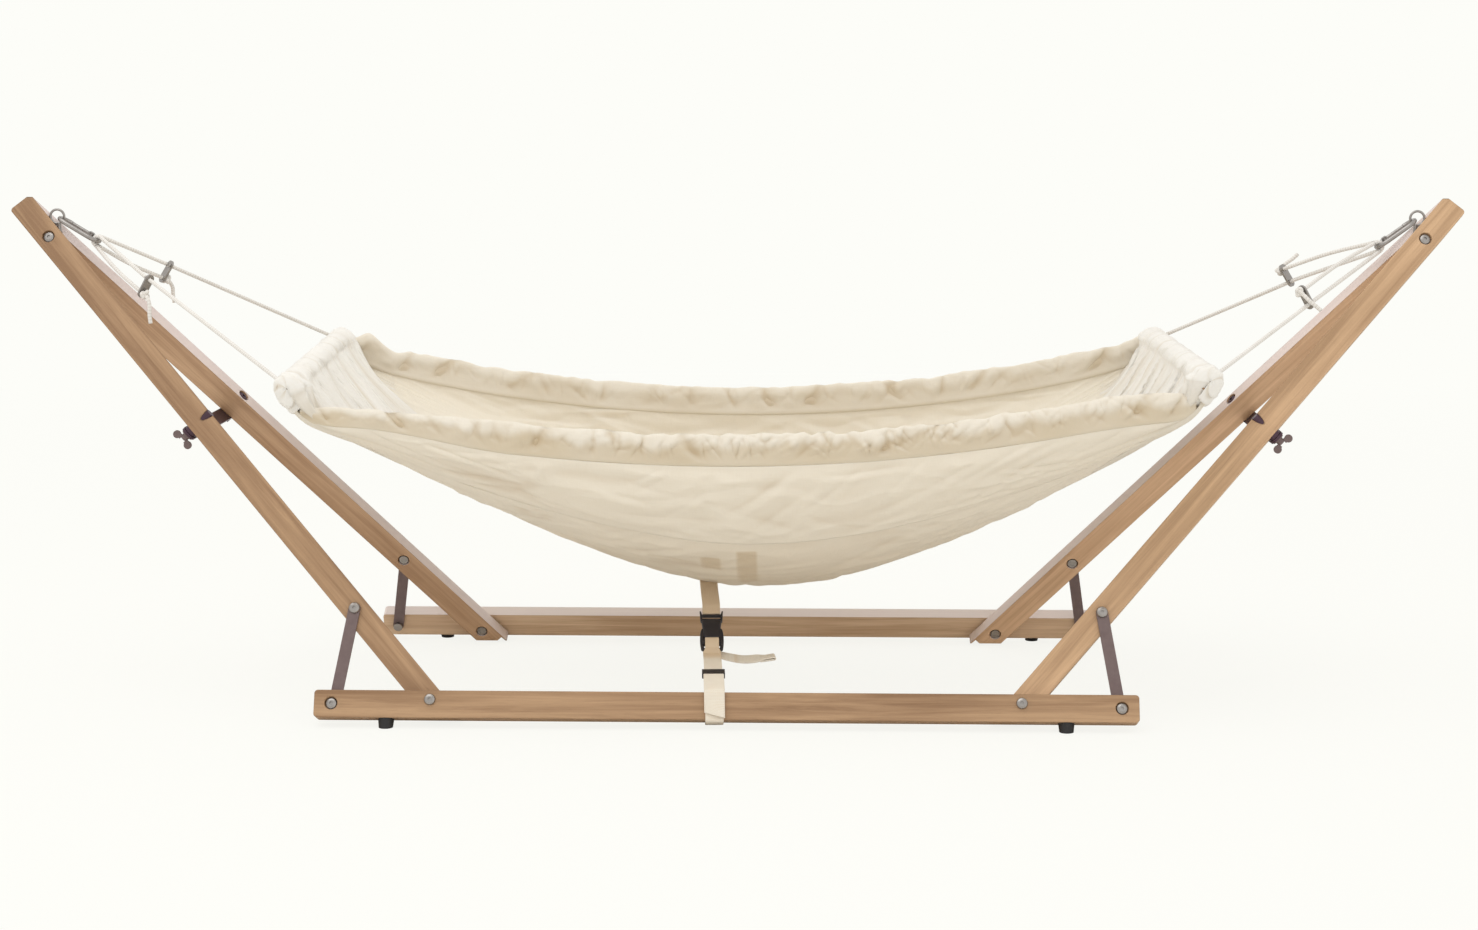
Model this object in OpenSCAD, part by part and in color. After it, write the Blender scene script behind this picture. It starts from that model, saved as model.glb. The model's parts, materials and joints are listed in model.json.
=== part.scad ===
// Swinging cradle on a folding stand.
// Two leaning side frames meet on steel hinges at their tops, and a gathered cloth
// cradle on two wooden spreader bars swings from the hinge eyes.
// Millimetres, Z up. X runs along the rails, and -Y is the front.
// The origin is on the floor under the middle.

/* [Side frames] */
// Length of each floor rail
rail_length = 892; // [820:1:980]
// Height of a rail, across its wide face
rail_height = 30; // [26:1:36]
// Thickness of the rails and uprights
stock_thickness = 19; // [16:1:24]
// Width of an upright, across its wide face
upright_width = 29; // [26:1:34]
// Lean of each side frame from the vertical
lean_angle = 22.5; // [19:0.5:26]
// Rise of the uprights above the rail, in the frame's own plane
upright_pitch = 49.2; // [46:0.1:53]
// Half the distance between the two rail pivots
pivot_x = 320; // [290:1:350]
// Height of a rail pivot above the rail's lower edge
pivot_height = 20; // [15:0.5:21]
// Distance from a rail pivot to the top hinge, along the upright
hinge_reach = 710; // [640:5:760]
// Length of an upright above the top hinge
upright_tail = 55; // [40:1:70]
// Height of an upright's lower end above the rail's lower edge
upright_foot = 6.5; // [6:0.5:8]
// Rounding of the ends of the wooden members
end_round = 4; // [2:0.5:6]
// Height of the rail's outer lower edge above the floor
rail_lift = 12; // [11:0.5:16]

/* [Struts] */
// Distance from a rail pivot to the strut's upper bolt, along the upright
strut_reach = 138; // [120:1:160]
// Half the distance between the two lower strut bolts
strut_foot_x = 427.5; // [400:0.5:430]
// Height of a lower strut bolt above the rail's lower edge
strut_foot_height = 15.5; // [12:0.5:18]
// Width of a steel strut
strut_width = 13; // [11:0.5:16]
// Thickness of a steel strut, which is also the gap between rail and upright
strut_thickness = 3; // [2:0.25:5]

/* [Bolts] */
// Radius of the bolt shanks
bolt_r = 3; // [2.5:0.1:3.5]
// Radius of the bolt heads
bolt_head_r = 6.2; // [5.5:0.1:7]
// Height of the bolt heads
bolt_head_h = 3.2; // [2.5:0.1:4]
// Radius of the nuts
nut_r = 5.4; // [5:0.1:6]
// Height of the nuts
nut_h = 4.6; // [3.5:0.1:5.5]
// Radius of the spacer washers at the rail pivots
spacer_r = 9; // [8:0.5:12]

/* [Feet] */
// Distance of each rubber foot from the middle of the rail
foot_x = 368; // [350:1:380]
// Radius of a foot at the rail
foot_top_r = 8.8; // [7.5:0.1:9.2]
// Radius of a foot at the floor
foot_sole_r = 7; // [5.5:0.1:8]

/* [Top hinges] */
// Gap left between the uprights when the stand is folded
folded_gap = 2; // [1.5:0.25:4]
// Gap between the mitred tops when the stand is open
seam_gap = 0.3; // [0.2:0.05:0.6]
// Radius of a hinge knuckle
knuckle_r = 6; // [5:0.25:7]
// Radius of a hinge pin
hinge_pin_r = 2.5; // [2:0.1:3]
// Half the width of the hinge across both ears
hinge_half = 10.4; // [9:0.2:12]
// Thickness of one ear
ear_t = 5.2; // [4:0.1:6]
// Distance of an eye ring from the middle of its hinge, towards the middle of the stand
eye_inset = 5.9; // [5:0.1:7]
// Height of an eye ring above its hinge pin
eye_rise = 29.5; // [27:0.5:34]
// Radius of an eye ring, to the middle of its wire
eye_r = 8; // [7:0.25:10]
// Radius of the eye ring's wire
eye_wire_r = 1.4; // [1.2:0.1:2]

/* [Stays] */
// Distance from a rail pivot to the stays, along the upright
stay_reach = 424; // [380:1:470]
// Width of a stay
stay_width = 17; // [14:0.5:19]
// Thickness of a stay
stay_t = 3; // [2:0.25:4]
// Reach of a stay past the inner edge of the front upright
stay_overhang = 18; // [16:0.5:22]
// Radius of a stay's hinge pin
stay_pin_r = 2; // [1.5:0.1:2.4]
// Span of the wing screw across its wings
wing_span = 26; // [22:1:32]
// Depth that a wing screw reaches into its socket
wing_reach = 3; // [2:0.25:4]

/* [Hanging] */
// Radius of the carabiner wire
hook_wire_r = 2.5; // [2:0.1:3]
// Half the width of a carabiner, to the middle of its wire
hook_half = 11.5; // [10:0.25:14]
// Length of a carabiner from the eye's centre to its outer end
hook_length = 58; // [54:1:66]
// Droop of the left carabiner below the horizontal
left_hook_droop = 31; // [24:1:38]
// Droop of the right carabiner below the horizontal
right_hook_droop = 36; // [28:1:40]
// Radius of the ropes
rope_r = 2.25; // [1.75:0.05:2.75]
// Length of a rope adjuster plate
slider_length = 29; // [27:1:36]
// Width of a rope adjuster plate
slider_width = 11; // [10:0.5:14]
// Thickness of a rope adjuster plate
slider_t = 2.4; // [1.5:0.1:3]
// Distance between the two rope holes of an adjuster
slider_pitch = 17; // [16:0.5:19]

/* [Cradle] */
// Distance of the left spreader bar from the middle of the stand
left_bar_x = 481.5; // [440:0.5:500]
// Distance of the right spreader bar from the middle of the stand
right_bar_x = 512.5; // [470:0.5:530]
// Height of the left spreader bar above the floor
left_bar_z = 373; // [350:1:390]
// Height of the right spreader bar above the floor
right_bar_z = 380; // [355:1:395]
// Turn of the left bar seen from above, as it hangs
left_bar_yaw = 3.3; // [0:0.1:5]
// Tilt of the left bar seen from the end, as it hangs
left_bar_roll = 0.9; // [0:0.1:2]
// Half the length of a spreader bar
bar_half = 247; // [235:1:250]
// Radius of a spreader bar
bar_r = 11; // [9:0.5:13]
// Radius of the gathered cloth sleeve on a bar
sleeve_r = 17; // [15:0.5:20]
// Bare length of a spreader bar beyond each end of its sleeve
sleeve_inset = 29; // [29:1:42]
// Distance of each hem inside the spreader bars' ends, at the middle
hem_inset = 15; // [7:1:32]
// Extra half width of the cradle at the bars
hem_flare = 4; // [0:1:10]
// Height of the hem's top edge at the middle
hem_low = 319; // [300:1:340]
// Rise of the hem from the middle to the bars
hem_rise = 62; // [50:1:70]
// Height of the gathered hem band
hem_height = 33; // [25:1:42]
// Thickness of the gathered hem band
hem_t = 5; // [4:0.5:8]
// Thickness of the cloth panels with their lining
cloth_t = 3; // [2:0.25:4]
// Drop of the front hem at the bars
hem_drop = 28; // [20:1:34]
// Height of the lowest point of the cradle above the floor
belly_low = 117; // [100:1:140]
// Steepness of the belly's rise towards the bars
belly_rise = 306; // [270:1:315]

/* [Tether] */
// Width of the tether webbing
webbing_width = 20; // [18:1:22]
// Thickness of the tether webbing
webbing_t = 1.8; // [1.2:0.1:2.2]
// Width of the webbing loop round the rail
loop_width = 25; // [22:1:30]
// Distance of the tether from the middle of the rail, to the left
tether_x = 12; // [0:1:40]
// Distance along the floor from the rail's top to the buckle's release end
buckle_y = 108; // [95:1:125]
// Height of the buckle's release end above the floor
buckle_z = 74; // [60:1:85]
// Tilt of the buckle, as it hangs
buckle_tilt = 41; // [15:1:50]
// Sideways slant of the tether towards the cradle
tether_slant = 3.6; // [0:0.2:6]
// Width of the release buckle
buckle_width = 23; // [22:0.5:26]
// Thickness of the release buckle
buckle_t = 9; // [8:0.5:11]

/* [Hidden] */
fine = 48;
big = 2000;
clear = 0.05;
seat = 0.3;

// Side frame, in its own plane: u along the rail, w from the outer face inwards, v up the plane
upright_w = stock_thickness + strut_thickness;
inner_w = upright_w + stock_thickness;
hinge_u = pivot_x + hinge_reach * cos(upright_pitch);
hinge_v = pivot_height + hinge_reach * sin(upright_pitch);
hinge_w = inner_w + folded_gap / 2;
eye_x = hinge_u - eye_inset;
base_half = hinge_v * sin(lean_angle) + hinge_w * cos(lean_angle);
hinge_z = rail_lift + hinge_v * cos(lean_angle) - hinge_w * sin(lean_angle);
strut_u = pivot_x + strut_reach * cos(upright_pitch);
strut_v = pivot_height + strut_reach * sin(upright_pitch);
bore_r = bolt_r + 0.2;
recess_r = bolt_head_r + 0.9;
recess_h = bolt_head_h + 0.6;
nut_recess_h = nut_h + 0.9;
pocket_r = knuckle_r + 1.4;
eye_z = hinge_z + eye_rise;
eye_shank_r = 2.4;
eye_shank_x = hinge_u - hinge_half + ear_t / 2;
clevis_base = 3.4;
clevis_back = knuckle_r + 0.6;
clevis_stem_r = 5;
clevis_stem = 4.2;

// Stays, in a frame whose x follows the uprights and whose z points into them
stay_u = pivot_x + stay_reach * cos(upright_pitch) + upright_width / 2 * sin(upright_pitch);
stay_v = pivot_height + stay_reach * sin(upright_pitch) - upright_width / 2 * cos(upright_pitch);
stay_edge_y = base_half - stay_v * sin(lean_angle) - inner_w * cos(lean_angle);
stay_z = rail_lift + stay_v * cos(lean_angle) - inner_w * sin(lean_angle);
stay_tilt = atan2(sin(upright_pitch) * cos(lean_angle), cos(upright_pitch));
stay_grip = stock_thickness / 2;
stay_knuckle_r = stay_pin_r + 2;
stay_pin_z = -(stay_knuckle_r + 0.5);
socket_r = 7.4;
socket_mouth_r = bolt_r + 2.6;

// Cradle: t runs from -1 at the left bar to 1 at the right bar
hang_mid = (right_bar_x - left_bar_x) / 2;
hang_half = (right_bar_x + left_bar_x) / 2;
swing_z = eye_z - 3.5;
end_gap = 0.8;
edge_lift = 0.7;
// The hems stop short of the bars, and the panels reach in under the sleeves
hem_span = 1 - (bar_r + 1) / hang_half;
cloth_span = 1 - 4 / hang_half;
cloth_end_z = (left_bar_z + right_bar_z) / 2 - sleeve_r - end_gap;
bar_step = (right_bar_z - left_bar_z) / 2;
stations = 24;
belly_steps = 12;
side_steps = 4;
side_share = 33;
belly_soft = 0.445;
belly_shift = 0.05;
belly_slant = 6;
belly_power = 16;
edge_power = 36;
hem_seam = 0.15;
section_power = 1.1;
sleeve_half = bar_half - sleeve_inset;
hem_half = bar_half - hem_inset;

// Ropes: bar end, adjuster and knot, as distances from the middle of the stand
rope_hole_y = bar_half - 9;
rope_turn_r = hook_wire_r + rope_r + 0.8;
rope_y = rope_r + 0.9;
// Where each rope runs through its adjuster, seen from its eye: inwards, to the rear and down
adjuster_steps = [[116, -57, 66.5], [110, 62, 58.5], [133, -92, 88.5], [123, 84, 76.5]];
// Side of the main rope on which each return rope lies
return_sides = [-1, -1, 1, 1];
// Each tail, as steps from its knot
tail_steps = [
  [[0, 0, 0], [4, -4, -4], [6, -6, -12], [6, -7, -22], [7, -7, -31]],
  [[0, 0, 0], [3, 4, -4], [5, 7, -10], [5, 8, -18], [6, 9, -27]],
  [[0, 0, 0], [4, -4, -3], [9, -6, -8], [15, -7, -13], [21, -8, -18]],
  [[0, 0, 0], [3, 4, 4], [8, 6, 8], [14, 7, 12], [19, 8, 15]]
];
knot_r = 4.2;

// Tether, in a frame that starts at the rail and follows the webbing
tether_y = -(base_half - 18);
buckle_length = 26;
bar_end = 36;
lock_y = 33;
lock_z = 51.5;
lock_tilt = 12;
prong_reach = 20;

wood = "#b58d63";
rear_wood = "#a67b54";
steel = "#b9bcc0";
strut_steel = "#8c7672";
stay_steel = "#5b4648";
rubber = "#2a2a2c";
rope_white = "#dcd9d2";
cloth = "#eadfc9";
webbing = "#e4d9c2";
plastic = "#1f1f22";

// ---- Vectors and swept solids ----

function unit(a) = a / norm(a);
function mirrored(p) = [-p[0], p[1], p[2]];

// Direction of a path at point i, halfway between the runs on either side
function heading(path, i) =
  let (last = len(path) - 1)
  i == 0 ? unit(path[1] - path[0])
  : i == last ? unit(path[last] - path[last - 1])
  : unit(unit(path[i] - path[i - 1]) + unit(path[i + 1] - path[i]));

// Ring of points round a path point; the first axis lies level with Y
function ring(path, i, r, sides) =
  let (h = heading(path, i), a = unit(cross(h, [0, 1, 0])), b = cross(h, a))
  [for (k = [0 : sides - 1]) path[i] + r * (cos(360 * k / sides) * a + sin(360 * k / sides) * b)];

module tube(path, r, sides = 8) {
  last = len(path) - 1;
  points = [for (i = [0 : last]) each ring(path, i, r, sides)];
  walls = [
    for (i = [0 : last - 1], k = [0 : sides - 1])
      let (n = (k + 1) % sides)
      [i * sides + k, (i + 1) * sides + k, (i + 1) * sides + n, i * sides + n]
  ];
  polyhedron(points, concat(
    walls,
    [[for (k = [0 : sides - 1]) k]],
    [[for (k = [sides - 1 : -1 : 0]) last * sides + k]]
  ), convexity = 6);
}

// Closed sheet between an outer and an inner grid of the same size
module sheet_solid(outer, inner) {
  rows = len(outer);
  cols = len(outer[0]);
  count = rows * cols;
  points = concat([for (row = outer) each row], [for (row = inner) each row]);
  skins = [
    for (i = [0 : rows - 2], k = [0 : cols - 2]) each
      let (a = i * cols + k, b = a + 1, c = a + cols, d = c + 1)
      [[a, b, c], [b, d, c], [a + count, c + count, b + count], [b + count, c + count, d + count]]
  ];
  ends = [
    for (k = [0 : cols - 2]) each
      let (a = k, b = k + 1, c = (rows - 1) * cols + k, d = c + 1)
      [[a, a + count, b], [b, a + count, b + count], [c, d, c + count], [d, d + count, c + count]]
  ];
  sides = [
    for (i = [0 : rows - 2]) each
      let (a = i * cols, b = a + cols, c = a + cols - 1, d = b + cols - 1)
      [[a, b, a + count], [b, b + count, a + count], [c, c + count, d], [d, c + count, d + count]]
  ];
  polyhedron(points, concat(skins, ends, sides), convexity = 8);
}

// ---- Placing ----

// Front side frame: children in x = u, y = w, z = v
module in_front() {
  translate([0, -base_half, rail_lift]) rotate([-lean_angle, 0, 0]) children();
}

module in_rear() {
  mirror([0, 1, 0]) in_front() children();
}

module both_ends() {
  children();
  mirror([1, 0, 0]) children();
}

// Along a bolt: children's z points inwards, from depth w
module bolt_at(u, w, v) {
  translate([u, w, v]) rotate([-90, 0, 0]) children();
}

module at_stay() {
  translate([stay_u, 0, stay_z]) rotate([0, -stay_tilt, 0]) children();
}

// ---- Fasteners ----

module bore(depth, r = bore_r) {
  translate([0, 0, -1]) cylinder(h = depth + 2, r = r, $fn = fine);
}

// Bolt with a domed head that ends at z = 0 and a shank beyond it
module bolt(shank) {
  difference() {
    union() {
      rotate_extrude($fn = fine) polygon([
        [0, -bolt_head_h], [bolt_head_r * 0.55, -bolt_head_h], [bolt_head_r * 0.88, -bolt_head_h * 0.72],
        [bolt_head_r, -bolt_head_h * 0.3], [bolt_head_r, 0], [bolt_r, 0], [bolt_r, shank], [0, shank]
      ]);
    }
    translate([0, 0, -bolt_head_h - 1]) cylinder(h = 2.6, r = 2, $fn = 6);
  }
}

module nut() {
  difference() {
    cylinder(h = nut_h, r = nut_r, $fn = fine);
    bore(nut_h, bolt_r + clear);
  }
}

// ---- Wooden members ----

// Bar along x with rounded corners in its wide face; y is its thickness
module rounded_bar(length, width) {
  r = end_round;
  rotate([90, 0, 0]) mirror([0, 0, 1]) linear_extrude(stock_thickness) {
    translate([r, 0]) square([length - 2 * r, width]);
    translate([0, r]) square([length, width - 2 * r]);
    for (x = [r, length - r], z = [r, width - r]) translate([x, z]) circle(r, $fn = fine);
  }
}

module rail() {
  difference() {
    translate([-rail_length / 2, 0, 0]) rounded_bar(rail_length, rail_height);
    both_ends() {
      bolt_at(pivot_x, 0, pivot_height) bore(stock_thickness);
      bolt_at(strut_foot_x, 0, strut_foot_height) bore(stock_thickness);
      bolt_at(strut_foot_x, -1, strut_foot_height)
        cylinder(h = recess_h + 1, r = recess_r, $fn = fine);
    }
  }
}

// Children along one upright: x up the wood, z across its width, y through it
module on_upright() {
  translate([pivot_x, upright_w, pivot_height]) rotate([0, -upright_pitch, 0]) children();
}

// The right-hand upright of a side frame before it is bored
module upright_blank() {
  reach = hinge_reach + upright_tail;
  drop = upright_width * 1.6;
  difference() {
    on_upright() translate([-drop, 0, -upright_width / 2]) rounded_bar(reach + drop, upright_width);
    translate([0, upright_w - 1, upright_foot - big]) cube([big, stock_thickness + 2, big]);
    translate([pivot_x - upright_width, upright_w - 1, upright_foot])
      rotate([0, 45, 0]) cube([7, stock_thickness + 2, 7], center = false);
  }
}

// Everything cut out of a right-hand upright, in the side frame's plane
module upright_cuts() {
  bolt_at(pivot_x, upright_w, pivot_height) bore(stock_thickness);
  bolt_at(strut_u, upright_w, strut_v) bore(stock_thickness);
  for (p = [[pivot_x, pivot_height], [strut_u, strut_v]])
    bolt_at(p[0], inner_w - nut_recess_h, p[1])
      cylinder(h = nut_recess_h + 1, r = recess_r, $fn = fine);
  bolt_at(hinge_u, upright_w, hinge_v) bore(stock_thickness);
  bolt_at(hinge_u, upright_w - 1, hinge_v) cylinder(h = recess_h + 1, r = recess_r, $fn = fine);
  bolt_at(hinge_u, hinge_w - clevis_back - clevis_base - clevis_stem - 0.4, hinge_v)
    cylinder(h = clevis_stem + 2, r = clevis_stem_r + 0.2, $fn = fine);
  translate([hinge_u - hinge_half - 0.5, hinge_w - clevis_back - clevis_base - 0.3, hinge_v - knuckle_r - 0.5])
    cube([2 * hinge_half + 1, clevis_back + clevis_base + 1, 2 * knuckle_r + 1]);
}

// Hinge pocket, eye notch and everything past the mitre, for the front side; in the room's frame
module top_cuts() {
  translate([hinge_u - hinge_half - 0.5, 0, hinge_z]) rotate([0, 90, 0])
    cylinder(h = 2 * hinge_half + 1, r = pocket_r, $fn = fine);
  translate([eye_shank_x, 0, hinge_z]) cylinder(h = eye_rise + 10, r = eye_shank_r + 0.6, $fn = fine);
  translate([eye_x, -eye_wire_r - 0.6, eye_z]) rotate([-90, 0, 0])
    cylinder(h = 2 * eye_wire_r + 1.2, r = eye_r + eye_wire_r + 0.8, $fn = fine);
  translate([0, -seam_gap / 2, 0]) cube(big);
}

module front_stay_cuts() {
  at_stay() translate([0, -stay_edge_y - stay_grip, -1]) {
    cylinder(h = 60, r = bolt_r + 2.05, $fn = fine);
    cylinder(h = 10.2, r = socket_r + 0.1, $fn = fine);
  }
}

module rear_stay_cuts() {
  stay_bolt_axis() bore(upright_width);
  stay_bolt_axis() translate([0, 0, upright_width - recess_h])
    cylinder(h = recess_h + 5, r = recess_r, $fn = fine);
}

// Rear stay bolt, in the side frame's plane: z runs up from the lower narrow face
module stay_bolt_axis() {
  on_upright() translate([stay_reach, stock_thickness / 2, -upright_width / 2]) children();
}

module front_upright() {
  difference() {
    in_front() difference() {
      upright_blank();
      upright_cuts();
    }
    top_cuts();
    front_stay_cuts();
  }
}

module rear_upright() {
  mirror([0, 1, 0]) difference() {
    in_front() difference() {
      upright_blank();
      upright_cuts();
      rear_stay_cuts();
    }
    top_cuts();
  }
}

// ---- Side frame hardware ----

module strut() {
  dx = strut_foot_x - strut_u;
  dz = strut_v - strut_foot_height;
  run = norm([dx, dz]);
  translate([strut_foot_x, stock_thickness, strut_foot_height]) rotate([0, -atan2(dx, dz), 0])
    rotate([90, 0, 0]) mirror([0, 0, 1]) linear_extrude(strut_thickness) difference() {
      union() {
        translate([-strut_width / 2, 0]) square([strut_width, run]);
        for (z = [0, run]) translate([0, z]) circle(strut_width / 2, $fn = fine);
      }
      for (z = [0, run]) translate([0, z]) circle(bolt_r + 0.1, $fn = fine);
    }
}

module pivot_bolt() {
  bolt_at(pivot_x, 0, pivot_height) bolt(inner_w - 1);
  bolt_at(pivot_x, inner_w - nut_recess_h, pivot_height) nut();
}

module spacer() {
  bolt_at(pivot_x, stock_thickness, pivot_height) difference() {
    cylinder(h = strut_thickness, r = spacer_r, $fn = fine);
    bore(strut_thickness, bolt_r + 0.1);
  }
}

module strut_bolt_pair() {
  bolt_at(strut_foot_x, recess_h, strut_foot_height) bolt(stock_thickness + strut_thickness + nut_h - recess_h);
  bolt_at(strut_foot_x, upright_w, strut_foot_height) nut();
  bolt_at(strut_u, stock_thickness, strut_v) bolt(strut_thickness + stock_thickness - 1);
  bolt_at(strut_u, inner_w - nut_recess_h, strut_v) nut();
}

// Rubber foot: a tapered stub square to the rail, cut level with the floor
module foot() {
  depth = rail_lift + 4;
  difference() {
    in_front() translate([foot_x, stock_thickness / 2, -depth])
      cylinder(h = depth, r1 = foot_sole_r, r2 = foot_top_r, $fn = fine);
    translate([0, -base_half, -big]) translate([-big / 2, -big / 2, 0]) cube([2 * big, big, big]);
  }
}

module top_bolt() {
  bolt_at(hinge_u, upright_w + recess_h, hinge_v)
    bolt(hinge_w - clevis_back - upright_w - recess_h - 0.6);
}

// ---- Top hinge ----

// Base and stem of a hinge half: it faces the pin from the upright's side
module hinge_base(half_width) {
  base_y = hinge_w - clevis_back - clevis_base;
  difference() {
    union() {
      translate([hinge_u - half_width, base_y, hinge_v - knuckle_r])
        cube([2 * half_width, clevis_base, 2 * knuckle_r]);
      bolt_at(hinge_u, base_y - clevis_stem, hinge_v)
        cylinder(h = clevis_stem, r = clevis_stem_r, $fn = fine);
    }
    bolt_at(hinge_u, base_y - clevis_stem, hinge_v) bore(clevis_stem + clevis_base, bolt_r + clear);
  }
}

// One knuckle leaf between x0 and x1, from the base to the pin
module hinge_leaf(x0, x1) {
  difference() {
    union() {
      translate([hinge_u + x0, hinge_w - clevis_back - 0.01, hinge_v - knuckle_r])
        cube([x1 - x0, clevis_back + 0.01, 2 * knuckle_r]);
      translate([hinge_u + x0, hinge_w, hinge_v]) rotate([0, 90, 0])
        cylinder(h = x1 - x0, r = knuckle_r, $fn = fine);
    }
    translate([hinge_u + x0 - 1, hinge_w, hinge_v]) rotate([0, 90, 0])
      cylinder(h = x1 - x0 + 2, r = hinge_pin_r + clear, $fn = fine);
  }
}

module eye_clevis() {
  union() {
    in_front() {
      hinge_base(hinge_half);
      hinge_leaf(-hinge_half, -hinge_half + ear_t);
      hinge_leaf(hinge_half - ear_t, hinge_half);
    }
    translate([eye_shank_x, 0, hinge_z + hinge_pin_r + 1])
      cylinder(h = eye_rise - hinge_pin_r - 1 - eye_r + 0.6, r = eye_shank_r, $fn = fine);
    translate([eye_x, 0, eye_z]) rotate([90, 0, 0]) rotate_extrude($fn = fine)
      translate([eye_r, 0]) circle(eye_wire_r, $fn = 24);
  }
}

module hinge_pin() {
  translate([hinge_u - hinge_half, 0, hinge_z]) rotate([0, 90, 0])
    cylinder(h = 2 * hinge_half, r = hinge_pin_r, $fn = fine);
}

module hinge_tongue() {
  half = hinge_half - ear_t - 0.2;
  in_rear() {
    hinge_base(half);
    hinge_leaf(-half, half);
  }
}

// ---- Stays ----

module stay_bracket() {
  ear = (stay_width - 10.6) / 2;
  difference() {
    at_stay() translate([-stay_width / 2, stay_edge_y + 2, 0.2]) cube([stay_width, stock_thickness - 4, 9]);
    in_rear() on_upright() translate([stay_reach - 60, 0, -upright_width / 2])
      cube([120, stock_thickness + 0.01, upright_width]);
    in_rear() stay_bolt_axis() translate([0, 0, -20]) bore(40, bolt_r + 0.15);
  }
  at_stay() for (x = [-stay_width / 2, stay_width / 2 - ear]) difference() {
    union() {
      translate([x, stay_edge_y + stay_grip, stay_pin_z]) rotate([0, 90, 0])
        cylinder(h = ear, r = stay_knuckle_r, $fn = fine);
      translate([x, stay_edge_y + stay_grip - stay_knuckle_r, stay_pin_z])
        cube([ear, 2 * stay_knuckle_r, 0.6 - stay_pin_z]);
    }
    translate([x - 1, stay_edge_y + stay_grip, stay_pin_z]) rotate([0, 90, 0])
      cylinder(h = ear + 2, r = stay_pin_r + clear, $fn = fine);
  }
}

module stay_bracket_bolt() {
  in_rear() stay_bolt_axis() translate([0, 0, upright_width - recess_h + 0.4]) mirror([0, 0, 1])
    bolt(upright_width - recess_h + 0.6);
}

module stay_pin() {
  at_stay() translate([-stay_width / 2, stay_edge_y + stay_grip, stay_pin_z]) rotate([0, 90, 0])
    cylinder(h = stay_width, r = stay_pin_r, $fn = fine);
}

module stay() {
  knuckle_y = stay_edge_y + stay_grip;
  tip_y = -stay_edge_y - stay_overhang;
  r = stay_width / 2;
  at_stay() difference() {
    union() {
      translate([-r, tip_y + r, -seat - stay_t]) cube([stay_width, knuckle_y - stay_knuckle_r - tip_y - r + 1, stay_t]);
      translate([0, tip_y + r, -seat - stay_t]) cylinder(h = stay_t, r = r, $fn = fine);
      translate([-5, knuckle_y, stay_pin_z]) rotate([0, 90, 0])
        cylinder(h = 10, r = stay_knuckle_r, $fn = fine);
      translate([-5, knuckle_y - stay_knuckle_r - 2, -seat - stay_t]) cube([10, stay_knuckle_r + 2, stay_t - 0.2]);
    }
    translate([-6, knuckle_y, stay_pin_z]) rotate([0, 90, 0])
      cylinder(h = 12, r = stay_pin_r + clear, $fn = fine);
    for (side = [-1, 1]) translate([side * (r - 1.2) - 2.6, knuckle_y - stay_knuckle_r - 0.9, -12])
      cube([5.2, 20, 20]);
    translate([0, -stay_edge_y - stay_grip, -seat - stay_t]) bore(stay_t, bolt_r + 0.25);
  }
}

// Socket in the front upright that a wing screw enters; its mouth is wide, so that it lets go as the stay drops
module stay_socket() {
  at_stay() translate([0, -stay_edge_y - stay_grip, 0]) difference() {
    union() {
      cylinder(h = 9, r = socket_r, $fn = fine);
      cylinder(h = upright_width + 3.4, r = bolt_r + 2, $fn = fine);
    }
    translate([0, 0, -1]) cylinder(h = wing_reach + 3, r = socket_mouth_r, $fn = fine);
    translate([0, 0, -1]) cylinder(h = 16, r = bolt_r - 0.2, $fn = fine);
  }
}

module wing_screw() {
  top = -seat - stay_t;
  hub = 6;
  at_stay() translate([0, -stay_edge_y - stay_grip, top]) {
    translate([0, 0, -1.6]) cylinder(h = 1.5, r = 7, $fn = fine);
    translate([0, 0, -hub - 1.6]) cylinder(h = hub + 0.01, r1 = 3.6, r2 = 4.8, $fn = fine);
    translate([0, 0, -1.2]) cylinder(h = stay_t + seat + wing_reach + 1.2, r = bolt_r - 0.3, $fn = fine);
    for (side = [-1, 1]) translate([side * (wing_span / 2 - 4.5), 0, -hub - 3]) rotate([90, 0, 0])
      translate([0, 0, -1]) linear_extrude(2) union() {
        circle(4.5, $fn = fine);
        translate([side > 0 ? -5.5 : 0, -1.5]) square([5.5, 5.4]);
      }
  }
}

// ---- Hooks ----

module on_left_hook() {
  translate([-eye_x, 0, eye_z]) rotate([0, left_hook_droop, 0]) children();
}

module on_right_hook() {
  mirror([1, 0, 0]) translate([-eye_x, 0, eye_z]) rotate([0, right_hook_droop, 0]) children();
}

hook_top = eye_r - eye_wire_r - hook_wire_r - 0.3;
hook_end = hook_length - hook_wire_r;
hook_near = hook_top + hook_half;
hook_far = hook_end - hook_half;
gate_pivot = hook_far - 2;
gate_tip = hook_near + 1.6;

module hook_bend(x, turn) {
  translate([x, 0, 0]) rotate([0, 0, turn]) rotate_extrude(angle = 180, $fn = fine)
    translate([hook_half, 0]) circle(hook_wire_r, $fn = 24);
}

module carabiner() {
  difference() {
    union() {
      hook_bend(hook_near, 90);
      hook_bend(hook_far, -90);
      translate([hook_near, -hook_half, 0]) rotate([0, 90, 0])
        cylinder(h = hook_far - hook_near, r = hook_wire_r, $fn = 24);
      translate([hook_near, hook_half, 0]) rotate([0, 90, 0])
        cylinder(h = 1.2, r = hook_wire_r, $fn = 24);
      translate([gate_pivot - 3, hook_half - 3, -hook_wire_r - 0.6])
        cube([hook_far - gate_pivot + 3.2, 6, 2 * hook_wire_r + 1.2]);
    }
    translate([gate_pivot - 4, hook_half - 4, -1.8]) cube([7.2, 8, 3.6]);
    translate([gate_pivot, hook_half, -5]) cylinder(h = 10, r = 1 + clear, $fn = fine);
  }
  translate([gate_pivot, hook_half, -hook_wire_r - 0.6])
    cylinder(h = 2 * hook_wire_r + 1.2, r = 1, $fn = fine);
}

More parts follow.
